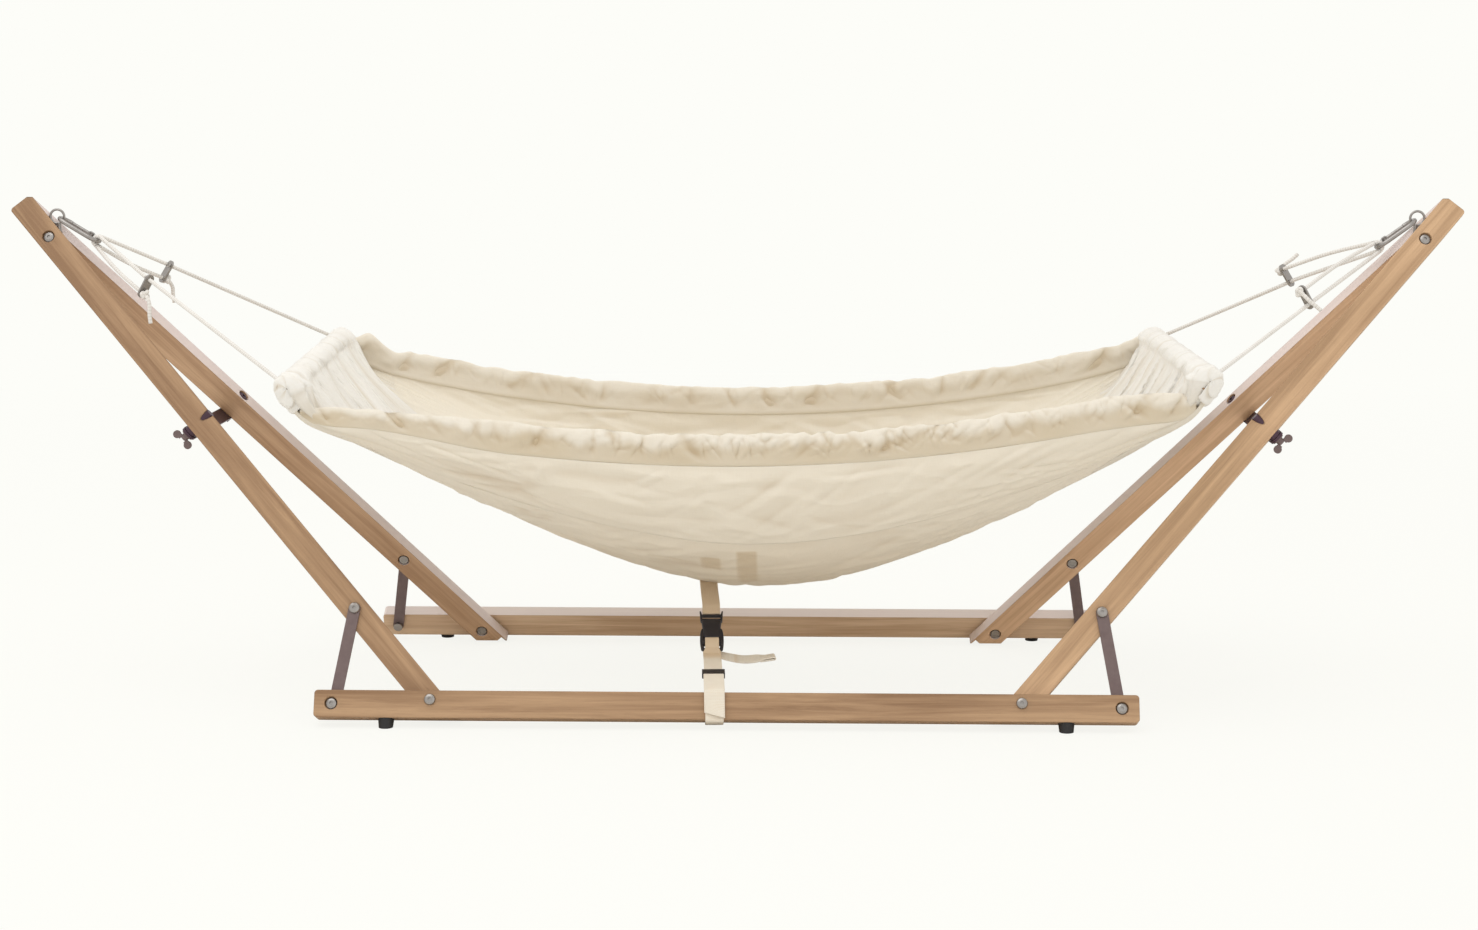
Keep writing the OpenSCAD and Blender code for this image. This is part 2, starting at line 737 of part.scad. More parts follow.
module gate() {
  difference() {
    union() {
      translate([gate_tip, hook_half, 0]) rotate([0, 90, 0])
        cylinder(h = gate_pivot - 4 - gate_tip, r = 2.1, $fn = 24);
      translate([gate_pivot - 4.2, hook_half - 1.8, -1.6]) cube([4.2, 3.6, 3.2]);
      translate([gate_pivot, hook_half, -1.6]) cylinder(h = 3.2, r = 2.7, $fn = fine);
    }
    translate([gate_pivot, hook_half, -3]) cylinder(h = 6, r = 1 + clear, $fn = fine);
  }
}

// ---- Ropes ----

// Middle of the rope's turn in a hook, and the hook's direction, by end: 0 left, 1 right
function hook_dir(end) =
  end == 0 ? [cos(left_hook_droop), 0, -sin(left_hook_droop)]
  : [-cos(right_hook_droop), 0, -sin(right_hook_droop)];
function hook_turn(end) = [(end == 0 ? -eye_x : eye_x), 0, eye_z] + (hook_end - 0.6) * hook_dir(end);

// Middle of a bar and a point on its axis at distance y
function bar_point(end, y) =
  end == 0 ? [-left_bar_x - sin(left_bar_yaw) * y, cos(left_bar_yaw) * y, left_bar_z + sin(left_bar_roll) * y]
  : [right_bar_x, y, right_bar_z];

function rope_end(i) = i < 2 ? 0 : 1;
function rope_side(i) = i % 2 == 0 ? -1 : 1;
// Adjusters in the order front left, rear left, front right, rear right
function adjuster_point(i) =
  let (s = adjuster_steps[i])
  [(i < 2 ? -1 : 1) * (eye_x - s[0]), s[1], eye_z - s[2]];
function rope_bar(i) = bar_point(rope_end(i), rope_side(i) * rope_hole_y);
function rope_dir(i) = unit(adjuster_point(i) - rope_bar(i));

// Turn of rope i round the hook's wire, from the main side to the return side
function rope_turn(i) =
  let (
    end = rope_end(i),
    along = hook_dir(end),
    up = unit(cross(along, [0, end == 0 ? 1 : -1, 0])),
    middle = hook_turn(end) + [0, rope_side(i) * rope_y, 0]
  )
  [for (a = [0 : 45 : 180]) middle + rope_turn_r * (-return_sides[i] * cos(a) * up - sin(a) * along)];

// Knot point of rope i, in its adjuster's second hole
function slider_up(i) =
  let (d = rope_dir(i), side = unit(cross(d, [0, 1, 0])), up = side[2] > 0 ? side : -side)
  return_sides[i] * up;
function slider_point(i) = adjuster_point(i) - 5 * rope_dir(i);
function knot_point(i) = slider_point(i) + slider_pitch * slider_up(i);

module main_rope(i) {
  far = rope_bar(i) - (bar_r + 5.5) * rope_dir(i);
  tube(concat([far, adjuster_point(i)], rope_turn(i)), rope_r);
  translate(far) sphere(knot_r + 0.5, $fn = 24);
}

// From the hook, through the adjuster's second hole, to a stopper knot and the free end
module return_rope(i) {
  turn = rope_turn(i);
  last = turn[len(turn) - 1];
  d = rope_dir(i);
  mouth = knot_point(i) + (slider_t / 2 + 1.5) * d;
  knot = knot_point(i) - (slider_t / 2 + 0.2 + knot_r) * d;
  mid = (last + mouth) / 2 + 2.5 * slider_up(i);
  start = last + 1.4 * unit(mid - last);
  tube(concat([start, mid, mouth], [for (s = tail_steps[i]) knot + s]), rope_r);
  translate(knot) sphere(knot_r, $fn = 24);
}

module adjuster(i) {
  d = rope_dir(i);
  up = slider_up(i);
  across = cross(up, d);
  middle = slider_point(i) + slider_pitch / 2 * up;
  r = slider_width / 2;
  multmatrix([
    [across[0], up[0], d[0], middle[0]],
    [across[1], up[1], d[1], middle[1]],
    [across[2], up[2], d[2], middle[2]]
  ]) translate([0, 0, -slider_t / 2]) linear_extrude(slider_t) difference() {
    union() {
      for (side = [-1, 1]) translate([0, side * (slider_length / 2 - r)]) circle(r, $fn = fine);
      square([slider_width, slider_length - slider_width], center = true);
    }
    translate([0, -slider_pitch / 2]) circle(rope_r + 0.35, $fn = fine);
    translate([0, slider_pitch / 2]) circle(rope_r + 0.35, $fn = fine);
  }
}

// ---- Spreader bars and sleeves ----

module on_bar(end) {
  if (end == 0)
    translate([-left_bar_x, 0, left_bar_z]) rotate([left_bar_roll, 0, left_bar_yaw]) children();
  else
    translate([right_bar_x, 0, right_bar_z]) children();
}

module spreader_bar(end) {
  difference() {
    on_bar(end) rotate([90, 0, 0]) cylinder(h = 2 * bar_half, r = bar_r, center = true, $fn = fine);
    for (k = [0, 1]) rope_hole(end * 2 + k);
  }
}

module rope_hole(i) {
  d = rope_dir(i);
  spin = atan2(d[1], d[0]);
  tilt = acos(d[2]);
  translate(rope_bar(i)) rotate([0, tilt, spin])
    cylinder(h = 4 * bar_r, r = rope_r + 0.35, center = true, $fn = fine);
}

module sleeve(end) {
  on_bar(end) rotate([90, 0, 0]) difference() {
    cylinder(h = 2 * sleeve_half, r = sleeve_r, center = true, $fn = fine);
    cylinder(h = 2 * sleeve_half + 2, r = bar_r + 0.1, center = true, $fn = fine);
  }
}

// ---- Cloth ----

function even(t, p) = pow(abs(t), p);
// Top edge of a hem; the front one drops towards the bars, sooner on the left
function hem_top(t, side) =
  hem_low + hem_rise * t * t - (side < 0 ? hem_drop * even(t / cloth_span, t < 0 ? 5 : 14) : 0);
function hem_out(t) = hem_half + hem_flare * t * t;

// The hem narrows towards the bars, where its lower edge meets the underside of the sleeve
function hem_bottom(t, side) =
  let (q = even(t / cloth_span, side < 0 ? edge_power : belly_power))
  hem_top(t, side) - hem_height * (1 - q) - (hem_top(cloth_span, side) - cloth_end_z - edge_lift) * q;

function belly_slope(t) =
  belly_low + belly_slant * t + belly_rise * (norm([t - belly_shift, belly_soft]) - belly_soft);
function belly_line(t) =
  let (end_slope = belly_slope(t < 0 ? -cloth_span : cloth_span))
  belly_slope(t) + (cloth_end_z - cloth_t - end_slope) * even(t / cloth_span, belly_power);

// Cloth point, leaned with the left bar towards the left end
function hung(t, y, z) =
  let (s = pow((1 - t) / 2, 2))
  [hang_mid + hang_half * t - tan(left_bar_yaw) * y * s, y, z + bar_step * t + tan(left_bar_roll) * y * s];

// Section of the bag below the hem: a is 0 at the hem and 90 at the keel, side is -1 in front
function bag(t, a, side, inset) =
  hung(t, side * (hem_out(t) - inset) * pow(max(cos(a), 0), section_power),
    hem_bottom(t, side) - (hem_bottom(t, side) - belly_line(t) - inset) * sin(a));

// Stations, closer together towards the bars; the hems run from the first to the last but one
function ts(i) =
  i == 0 ? -cloth_span
  : i == stations ? cloth_span
  : hem_span * sin(90 * (2 * (i - 1) / (stations - 2) - 1));

module hem(side) {
  outer = [for (i = [1 : stations - 1]) let (t = ts(i)) [
    hung(t, side * hem_out(t), hem_bottom(t, side) + hem_seam),
    hung(t, side * (hem_out(t) + hem_t / 3), (hem_top(t, side) + hem_bottom(t, side)) / 2),
    hung(t, side * hem_out(t), hem_top(t, side))
  ]];
  inner = [for (i = [1 : stations - 1]) let (t = ts(i)) [
    hung(t, side * (hem_out(t) - hem_t), hem_bottom(t, side) + hem_seam),
    hung(t, side * (hem_out(t) - hem_t * 4 / 3), (hem_top(t, side) + hem_bottom(t, side)) / 2),
    hung(t, side * (hem_out(t) - hem_t), hem_top(t, side))
  ]];
  if (side < 0) sheet_solid(outer, inner);
  else sheet_solid(inner, outer);
}

module bag_panel(side, from, to, steps) {
  angles = [for (k = [0 : steps]) from + (to - from) * k / steps];
  outer = [for (i = [0 : stations]) [for (a = angles) bag(ts(i), a, side, 0)]];
  inner = [for (i = [0 : stations]) [for (a = angles) bag(ts(i), a, side, cloth_t)]];
  if (side < 0) sheet_solid(inner, outer);
  else sheet_solid(outer, inner);
}

module belly() {
  angles = [for (k = [0 : belly_steps]) side_share + (90 - side_share) * k / belly_steps];
  outer = [for (i = [0 : stations]) concat(
    [for (a = angles) bag(ts(i), a, -1, 0)],
    [for (k = [belly_steps - 1 : -1 : 0]) bag(ts(i), angles[k], 1, 0)]
  )];
  inner = [for (i = [0 : stations]) concat(
    [for (a = angles) bag(ts(i), a, -1, cloth_t)],
    [for (k = [belly_steps - 1 : -1 : 0]) bag(ts(i), angles[k], 1, cloth_t)]
  )];
  sheet_solid(inner, outer);
}

// ---- Tether ----

// Children in x across the webbing, y from the rail to the cradle, z up
module on_tether() {
  translate([-tether_x, tether_y, 0]) rotate([0, 0, tether_slant]) children();
}

// Strip of webbing of the given width along points (y, z)
module strip(points, width) {
  last = len(points) - 1;
  function tangent(i) =
    i == 0 ? unit(points[1] - points[0])
    : i == last ? unit(points[last] - points[last - 1])
    : unit(points[i + 1] - points[i - 1]);
  function side(i) = webbing_t / 2 * [-tangent(i)[1], tangent(i)[0]];
  outline = concat(
    [for (i = [0 : last]) points[i] + side(i)],
    [for (i = [last : -1 : 0]) points[i] - side(i)]
  );
  rotate([90, 0, 90]) translate([0, 0, -width / 2]) linear_extrude(width) polygon(outline);
}

// Children along the buckle: y towards the cradle, z out of its face
module on_buckle() {
  on_tether() translate([0, buckle_y, buckle_z]) rotate([buckle_tilt, 0, 0]) children();
}

module buckle_body() {
  half = buckle_width / 2;
  on_buckle() difference() {
    union() {
      translate([-half, 0, -buckle_t / 2]) cube([buckle_width, buckle_length, buckle_t]);
      translate([-half - 1, buckle_length - 0.01, -2.5]) cube([buckle_width + 2, 10, 5]);
    }
    translate([-half + 2, -1, -2.6]) cube([buckle_width - 4, prong_reach + 2, 5.2]);
    for (side = [-1, 1]) translate([side * half - 3, 6, -2.6]) cube([6, 9, 5.2]);
    translate([-webbing_width / 2 - 0.6, buckle_length + 1.5, -5]) cube([webbing_width + 1.2, 2.6, 10]);
    translate([-webbing_width / 2 - 0.6, buckle_length + 6.6, -5]) cube([webbing_width + 1.2, 2, 10]);
  }
}

module buckle_prongs() {
  half = buckle_width / 2;
  on_buckle() difference() {
    union() {
      translate([-half, -7.4, -buckle_t / 2 + 0.5]) cube([buckle_width, 7, buckle_t - 1]);
      translate([-2, -1, -2]) cube([4, prong_reach, 4]);
      for (side = [-1, 1]) translate([side * (half - 4.4) - 1.6, -1, -2]) cube([3.2, prong_reach, 4]);
      translate([-half - 1, -15.4, -2.5]) cube([buckle_width + 2, 8.01, 5]);
    }
    translate([-webbing_width / 2 - 0.6, -12.6, -5]) cube([webbing_width + 1.2, 3, 10]);
  }
}

// Point of the buckle's length, as (y, z) in the tether's frame
function on_buckle_line(d) = [buckle_y + d * cos(buckle_tilt), buckle_z + d * sin(buckle_tilt)];
// Point of the rail's section, as (y, z) in the tether's frame
function at_rail(w, v) = [
  -base_half + v * sin(lean_angle) + w * cos(lean_angle) - tether_y,
  rail_lift + v * cos(lean_angle) - w * sin(lean_angle)
];

module upper_tether() {
  keel = [184, hung_keel() + 11.7];
  on_tether() strip([on_buckle_line(bar_end + 0.3), on_buckle_line(bar_end + 14), keel, keel + [20, -3]],
    webbing_width);
}

// Lowest height of the cloth, over the tether
function hung_keel() = belly_low - webbing_t - 1.2;

// Three points round a corner of the rail, from the side to the end; sx and sy point out of the corner
function round_corner(w, v, sx, sy, out) =
  [at_rail(w + sx * out, v), at_rail(w + 0.7 * sx * out, v + 0.7 * sy * out), at_rail(w, v + sy * out)];
function reversed(list) = [for (i = [len(list) - 1 : -1 : 0]) list[i]];

// Webbing from the lock over the rail's top, round the rail, back through the lock and up to the buckle
module rail_strap() {
  out = webbing_t / 2 + 0.75;
  lock = [lock_y, lock_z];
  along = [cos(lock_tilt), sin(lock_tilt)];
  up = [-along[1], along[0]];
  apart = webbing_t / 2 + 0.25;
  on_tether() strip(concat(
    [lock + 6 * along + apart * up, lock - 8 * along + apart * up],
    reversed(round_corner(0, rail_height, -1, 1, out)),
    round_corner(0, 0, -1, -1, out),
    reversed(round_corner(stock_thickness, 0, 1, -1, out)),
    [
      at_rail(stock_thickness + out, rail_height - 4),
      lock - 9 * along - apart * up,
      lock + 8 * along - apart * up,
      lock + 22 * along - apart * up,
      on_buckle_line(-16.1)
    ]
  ), webbing_width);
}

// Ladder lock that grips both layers of the loop
module ladder_lock() {
  along = 11;
  high = 6.4;
  on_tether() translate([0, lock_y, lock_z]) rotate([lock_tilt, 0, 0]) difference() {
    translate([-loop_width / 2, -along / 2, -high / 2]) cube([loop_width, along, high]);
    translate([-webbing_width / 2 - 0.6, -along, -webbing_t - 0.55])
      cube([webbing_width + 1.2, 2 * along, 2 * webbing_t + 1.1]);
  }
}

// Free end of the webbing, which turns out to the right below the buckle
module strap_tail() {
  at = on_buckle_line(-12) + [0, -5.6];
  on_tether() translate([0, at[0], at[1]]) rotate([12, 0, 0]) rotate([0, 0, 90])
    strip([[10, 0], [-4, -0.6], [-20, -3.5], [-38, -6], [-52, -4.6]], webbing_width - 2);
}

// ---- The part ----

module front_rail() { color(wood) in_front() rail(); }
module front_left_upright() { color(wood) mirror([1, 0, 0]) front_upright(); }
module front_right_upright() { color(wood) front_upright(); }
module front_struts() { color(strut_steel) in_front() both_ends() strut(); }
module front_pivot_bolts() { color(steel) in_front() both_ends() pivot_bolt(); }
module front_spacers() { color(steel) in_front() both_ends() spacer(); }
module front_strut_bolts() { color(steel) in_front() both_ends() strut_bolt_pair(); }
module front_feet() { color(rubber) both_ends() foot(); }
module front_top_bolts() { color(steel) in_front() both_ends() top_bolt(); }
module left_eye_clevis() { color(steel) mirror([1, 0, 0]) eye_clevis(); }
module right_eye_clevis() { color(steel) eye_clevis(); }
module hinge_pins() { color(steel) both_ends() hinge_pin(); }
module stay_sockets() { color(stay_steel) both_ends() stay_socket(); }
module rear_rail() { color(rear_wood) in_rear() rail(); }
module rear_left_upright() { color(rear_wood) mirror([1, 0, 0]) rear_upright(); }
module rear_right_upright() { color(rear_wood) rear_upright(); }
module rear_struts() { color(strut_steel) in_rear() both_ends() strut(); }
module rear_pivot_bolts() { color(steel) in_rear() both_ends() pivot_bolt(); }
module rear_spacers() { color(steel) in_rear() both_ends() spacer(); }
module rear_strut_bolts() { color(steel) in_rear() both_ends() strut_bolt_pair(); }
module rear_feet() { color(rubber) mirror([0, 1, 0]) both_ends() foot(); }
module rear_top_bolts() { color(steel) in_rear() both_ends() top_bolt(); }
module hinge_tongues() { color(steel) both_ends() hinge_tongue(); }
module stay_brackets() { color(stay_steel) both_ends() stay_bracket(); }
module stay_bracket_bolts() { color(steel) both_ends() stay_bracket_bolt(); }
module stay_pins() { color(steel) both_ends() stay_pin(); }
module left_stay() { color(stay_steel) mirror([1, 0, 0]) stay(); }
module right_stay() { color(stay_steel) stay(); }
module left_wing_screw() { color(steel) mirror([1, 0, 0]) wing_screw(); }
module right_wing_screw() { color(steel) wing_screw(); }
module left_carabiner() { color(steel) on_left_hook() carabiner(); }
module right_carabiner() { color(steel) on_right_hook() carabiner(); }
module left_gate() { color(steel) on_left_hook() gate(); }
module right_gate() { color(steel) on_right_hook() gate(); }
module left_spreader_bar() { color(wood) spreader_bar(0); }
module right_spreader_bar() { color(wood) spreader_bar(1); }
module ropes() { color(rope_white) for (i = [0 : 3]) main_rope(i); }
module front_left_return() { color(rope_white) return_rope(0); }
module rear_left_return() { color(rope_white) return_rope(1); }
module front_right_return() { color(rope_white) return_rope(2); }
module rear_right_return() { color(rope_white) return_rope(3); }
module front_left_adjuster() { color(steel) adjuster(0); }
module rear_left_adjuster() { color(steel) adjuster(1); }
module front_right_adjuster() { color(steel) adjuster(2); }
module rear_right_adjuster() { color(steel) adjuster(3); }
module left_sleeve() { color(cloth) sleeve(0); }
module right_sleeve() { color(cloth) sleeve(1); }
module front_hem() { color(cloth) hem(-1); }
module rear_hem() { color(cloth) hem(1); }
module front_panel() { color(cloth) bag_panel(-1, 0, side_share, side_steps); }
module rear_panel() { color(cloth) bag_panel(1, 0, side_share, side_steps); }
module belly_panel() { color(cloth) belly(); }

front_rail();
front_left_upright();
front_right_upright();
front_struts();
front_pivot_bolts();
front_spacers();
front_strut_bolts();
front_feet();
front_top_bolts();
left_eye_clevis();
right_eye_clevis();
hinge_pins();
stay_sockets();
rear_rail();
rear_left_upright();
rear_right_upright();
rear_struts();
rear_pivot_bolts();
rear_spacers();
rear_strut_bolts();
rear_feet();
rear_top_bolts();
hinge_tongues();
stay_brackets();
stay_bracket_bolts();
stay_pins();
left_stay();
right_stay();
left_wing_screw();
right_wing_screw();
left_carabiner();
right_carabiner();
left_gate();
right_gate();
left_spreader_bar();
right_spreader_bar();
ropes();
front_left_return();
rear_left_return();
front_right_return();
rear_right_return();
front_left_adjuster();
rear_left_adjuster();
front_right_adjuster();
rear_right_adjuster();
left_sleeve();
right_sleeve();
front_hem();
rear_hem();
front_panel();
rear_panel();
belly_panel();
color(webbing) upper_tether();
color(plastic) buckle_body();
color(plastic) buckle_prongs();
color(webbing) rail_strap();
color(plastic) ladder_lock();
color(webbing) strap_tail();
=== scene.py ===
"""Looks of a swinging cradle on its folding stand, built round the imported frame.

X runs along the rails, the camera looks along +Y and Z is up. Shapes are worked out in
millimetres and handed over in metres. The wooden and steel members are the frame's own
parts with better materials; cloth, ropes, webbing and buckle are modelled here.
"""

from __future__ import annotations

import json
import logging
import math
from dataclasses import dataclass
from enum import Enum
from typing import Callable, Sequence

import bpy
import numpy as np
from mathutils import Euler, Matrix, Vector

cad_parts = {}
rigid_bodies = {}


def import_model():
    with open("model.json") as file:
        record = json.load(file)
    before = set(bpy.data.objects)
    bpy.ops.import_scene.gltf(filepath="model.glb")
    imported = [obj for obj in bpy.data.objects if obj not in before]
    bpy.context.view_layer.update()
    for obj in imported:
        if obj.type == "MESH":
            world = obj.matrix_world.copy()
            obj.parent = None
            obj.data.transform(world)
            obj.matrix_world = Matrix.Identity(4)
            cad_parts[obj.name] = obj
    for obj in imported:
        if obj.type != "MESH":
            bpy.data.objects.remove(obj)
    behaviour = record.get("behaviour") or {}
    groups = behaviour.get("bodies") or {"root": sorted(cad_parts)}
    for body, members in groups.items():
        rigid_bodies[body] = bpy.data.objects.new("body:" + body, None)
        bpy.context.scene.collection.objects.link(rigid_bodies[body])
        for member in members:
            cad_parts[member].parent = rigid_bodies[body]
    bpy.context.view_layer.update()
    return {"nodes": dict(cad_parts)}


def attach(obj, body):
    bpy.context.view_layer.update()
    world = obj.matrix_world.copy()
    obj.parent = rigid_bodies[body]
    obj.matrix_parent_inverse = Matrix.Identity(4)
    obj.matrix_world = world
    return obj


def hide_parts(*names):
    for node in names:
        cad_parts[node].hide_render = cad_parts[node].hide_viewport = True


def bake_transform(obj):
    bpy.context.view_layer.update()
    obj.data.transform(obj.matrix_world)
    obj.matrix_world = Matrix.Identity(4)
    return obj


LOG = logging.getLogger("cradle")
MM = 0.001
UV_NAME = "metres"
WAVE_SCALE = 0.31416  # distance between the ribs of a wave texture whose scale is 1
Array = np.ndarray
Socket = bpy.types.NodeSocket
Triple = tuple[float, float, float]
Station = tuple[float, float, float, float]


class Side(Enum):
    """Front or rear of the cradle, as the sign of Y."""

    FRONT = -1
    REAR = 1


class End(Enum):
    """Left or right end of the cradle, as the sign of X."""

    LEFT = -1
    RIGHT = 1


# ---- Small helpers ----


def linear(code: str) -> tuple[float, float, float, float]:
    """Turns an sRGB hex colour into linear RGBA.

    Args:
        code: colour as "#rrggbb".

    Returns:
        Linear red, green and blue with an alpha of 1.
    """
    parts = [int(code[i : i + 2], 16) / 255 for i in (1, 3, 5)]
    return (*(c / 12.92 if c <= 0.04045 else ((c + 0.055) / 1.055) ** 2.4 for c in parts), 1.0)


def unit(a: Array) -> Array:
    """Scales vectors to length 1.

    Args:
        a: one vector, or an array whose last axis holds vectors.

    Returns:
        The same directions at length 1.
    """
    return a / np.maximum(np.linalg.norm(a, axis=-1, keepdims=True), 1e-12)


def smooth(x: Array | float, low: float, high: float) -> Array:
    """Smooth step from 0 at low to 1 at high.

    Args:
        x: values.
        low: where the step starts.
        high: where the step ends.

    Returns:
        Values from 0 to 1.
    """
    t = np.clip((np.asarray(x, float) - low) / (high - low), 0, 1)
    return t * t * (3 - 2 * t)


def bell(x: Array, centre: float, width: float) -> Array:
    """Bell curve of height 1.

    Args:
        x: values.
        centre: where the bell stands.
        width: half its width at about a third of its height.

    Returns:
        Values from 0 to 1.
    """
    return np.exp(-(((x - centre) / width) ** 2))


def noise(u: Array, v: Array, seed: int) -> Array:
    """Smooth random field on a unit lattice.

    Args:
        u: first coordinate, in lattice cells.
        v: second coordinate, in lattice cells.
        seed: seed of the lattice's values.

    Returns:
        Values from -1 to 1.
    """
    cells = (97, 89)
    table = np.random.default_rng(seed).uniform(-1, 1, cells)
    iu, iv = np.floor(u).astype(int), np.floor(v).astype(int)
    fu, fv = (f * f * (3 - 2 * f) for f in (u - iu, v - iv))
    a, b, c, d = (table[(iu + k) % cells[0], (iv + m) % cells[1]] for m in (0, 1) for k in (0, 1))
    return (a * (1 - fu) + b * fu) * (1 - fv) + (c * (1 - fu) + d * fu) * fv


def rumple(u: Array, v: Array, seed: int, octaves: int = 4) -> Array:
    """Sum of noise fields, each half as wide and half as high as the one before.

    Args:
        u: first coordinate, in cells of the widest field.
        v: second coordinate.
        seed: seed of the first field.
        octaves: number of fields.

    Returns:
        Values of about -1 to 1.
    """
    return sum(noise(u * 2**k + 7 * k, v * 2**k + 3 * k, seed + k) / 2**k for k in range(octaves)) / 1.6


@dataclass(frozen=True)
class Creases:
    """A scatter of short folds on a cloth: each is a sharp valley with a soft ridge beside it."""

    count: int
    seed: int
    u: tuple[float, float]
    v: tuple[float, float]
    turn: tuple[float, float]
    length: tuple[float, float]
    width: tuple[float, float]
    depth: tuple[float, float]

    def field(self, u: Array, v: Array) -> Array:
        """Adds up the folds.

        Args:
            u: distance along the cloth, in mm.
            v: distance across it, in mm.

        Returns:
            Outward displacement, in mm.
        """
        rng = np.random.default_rng(self.seed)
        out = np.zeros(np.broadcast(u, v).shape)
        for _ in range(self.count):
            cu, cv = rng.uniform(*self.u), rng.uniform(*self.v)
            turn = math.radians(rng.uniform(*self.turn))
            length, width = rng.uniform(*self.length), rng.uniform(*self.width)
            depth = rng.uniform(*self.depth)
            along = (u - cu) * math.cos(turn) + (v - cv) * math.sin(turn)
            across = -(u - cu) * math.sin(turn) + (v - cv) * math.cos(turn)
            across = across + 0.12 * length * np.sin(along / length * 1.7)
            fade = np.exp(-((along / length) ** 4))
            ridge = 0.75 * bell(across, 1.7 * width, 1.4 * width)
            out += depth * fade * (ridge - np.exp(-np.abs(across / width) ** 1.3))
        return out


# ---- Meshes ----


def grid_mesh(
    name: str,
    points: Array,
    u: Array,
    v: Array,
    wrap: bool = False,
    caps: bool = False,
    attributes: dict[str, Array] | None = None,
) -> bpy.types.Object:
    """Makes a mesh from a grid of points.

    Args:
        name: object name.
        points: rows by columns by 3, in mm. The faces look towards row direction x column direction.
        u: UV coordinate of each row.
        v: UV coordinate of each column, with one more value than columns where the grid wraps.
        wrap: whether the last column joins the first.
        caps: whether the first and last rows are closed with a fan.
        attributes: one array of rows by columns for each vertex attribute.

    Returns:
        The new object.
    """
    rows, cols = points.shape[:2]
    i, k = np.meshgrid(np.arange(rows - 1), np.arange(cols if wrap else cols - 1), indexing="ij")
    i, k = i.ravel(), k.ravel()
    corners = ((0, 0), (1, 0), (1, 1), (0, 1))
    faces = np.stack([(i + di) * cols + (k + dk) % cols for di, dk in corners], axis=1).tolist()
    uv = np.stack([np.stack([u[i + di], v[k + dk]], 1) for di, dk in corners], axis=1).reshape(-1, 2)
    if caps:
        faces += [list(range(cols)), [(rows - 1) * cols + c for c in reversed(range(cols))]]
        uv = np.concatenate([uv, np.zeros((2 * cols, 2))])
    mesh = bpy.data.meshes.new(name)
    mesh.from_pydata((points.reshape(-1, 3) * MM).tolist(), [], faces)
    mesh.uv_layers.new(name=UV_NAME).data.foreach_set("uv", uv.astype(np.float32).ravel())
    for key, values in (attributes or {}).items():
        layer = mesh.attributes.new(key, "FLOAT", "POINT")
        layer.data.foreach_set("value", np.ascontiguousarray(values, dtype=np.float32).ravel())
    mesh.polygons.foreach_set("use_smooth", [True] * len(mesh.polygons))
    mesh.update()
    obj = bpy.data.objects.new(name, mesh)
    bpy.context.scene.collection.objects.link(obj)
    return obj


def distances(line: Array) -> Array:
    """Distance of each point of a line from its start.

    Args:
        line: points.

    Returns:
        Distances along the line, the first of them 0.
    """
    return np.concatenate([[0], np.cumsum(np.linalg.norm(np.diff(line, axis=0), axis=1))])


def spline(points: Sequence[Sequence[float]], step: float) -> Array:
    """Smooth curve through points, made of cubic pieces, with evenly spaced samples.

    Args:
        points: route points, in mm.
        step: distance between samples, in mm.

    Returns:
        The samples, from the first point to the last.
    """
    p = np.array(points, float)
    p = np.vstack([2 * p[0] - p[1], p, 2 * p[-1] - p[-2]])
    fine: list[Array] = []
    for a, b, c, d in zip(p, p[1:], p[2:], p[3:]):
        t = np.linspace(0, 1, 24, endpoint=False)[:, None]
        bent = (2 * a - 5 * b + 4 * c - d) * t**2 + (3 * b - a - 3 * c + d) * t**3
        fine.append(0.5 * (2 * b + (c - a) * t + bent))
    line = np.vstack([*fine, p[-2:-1]])
    along = distances(line)
    at = np.linspace(0, along[-1], max(3, int(round(along[-1] / step)) + 1))
    return np.stack([np.interp(at, along, line[:, c]) for c in range(line.shape[1])], axis=1)


def path_length(line: Array) -> float:
    """Length of a line of points.

    Args:
        line: points, in mm.

    Returns:
        Length, in metres.
    """
    return float(np.linalg.norm(np.diff(line, axis=0), axis=1).sum()) * MM


def tube(name: str, line: Array, radius: Array | float, sides: int = 16) -> bpy.types.Object:
    """Round tube along a line, with its ring directions carried along so that it doesn't twist.

    Args:
        name: object name.
        line: points of the centreline, in mm.
        radius: radius, or one radius for each point.
        sides: corners of a ring.

    Returns:
        The tube, whose UV is metres along and turns around.
    """
    heading = unit(np.gradient(line, axis=0))
    first = np.cross(heading[0], [0.0, 0.0, 1.0])
    axis = unit(first if np.linalg.norm(first) > 0.1 else np.cross(heading[0], [0.0, 1.0, 0.0]))
    axes = []
    for h in heading:
        axis = unit(axis - h * float(axis @ h))
        axes.append(axis)
    a = np.array(axes)
    b = np.cross(a, heading)
    turn = np.linspace(0, 2 * math.pi, sides, endpoint=False)
    r = np.broadcast_to(np.asarray(radius, float), (len(line),))[:, None, None]
    ring = np.cos(turn)[None, :, None] * a[:, None] + np.sin(turn)[None, :, None] * b[:, None]
    points = line[:, None] + r * ring
    return grid_mesh(name, points, distances(line) * MM, np.linspace(0, 1, sides + 1), wrap=True, caps=True)


def join(name: str, parts: Sequence[bpy.types.Object]) -> bpy.types.Object:
    """Joins objects into one.

    Args:
        name: name of the joined object.
        parts: objects, whose materials are kept.

    Returns:
        The joined object.
    """
    bpy.ops.object.select_all(action="DESELECT")
    for part in parts:
        part.select_set(True)
    bpy.context.view_layer.objects.active = parts[0]
    bpy.ops.object.join()
    parts[0].name = name
    parts[0].data.name = name
    return parts[0]


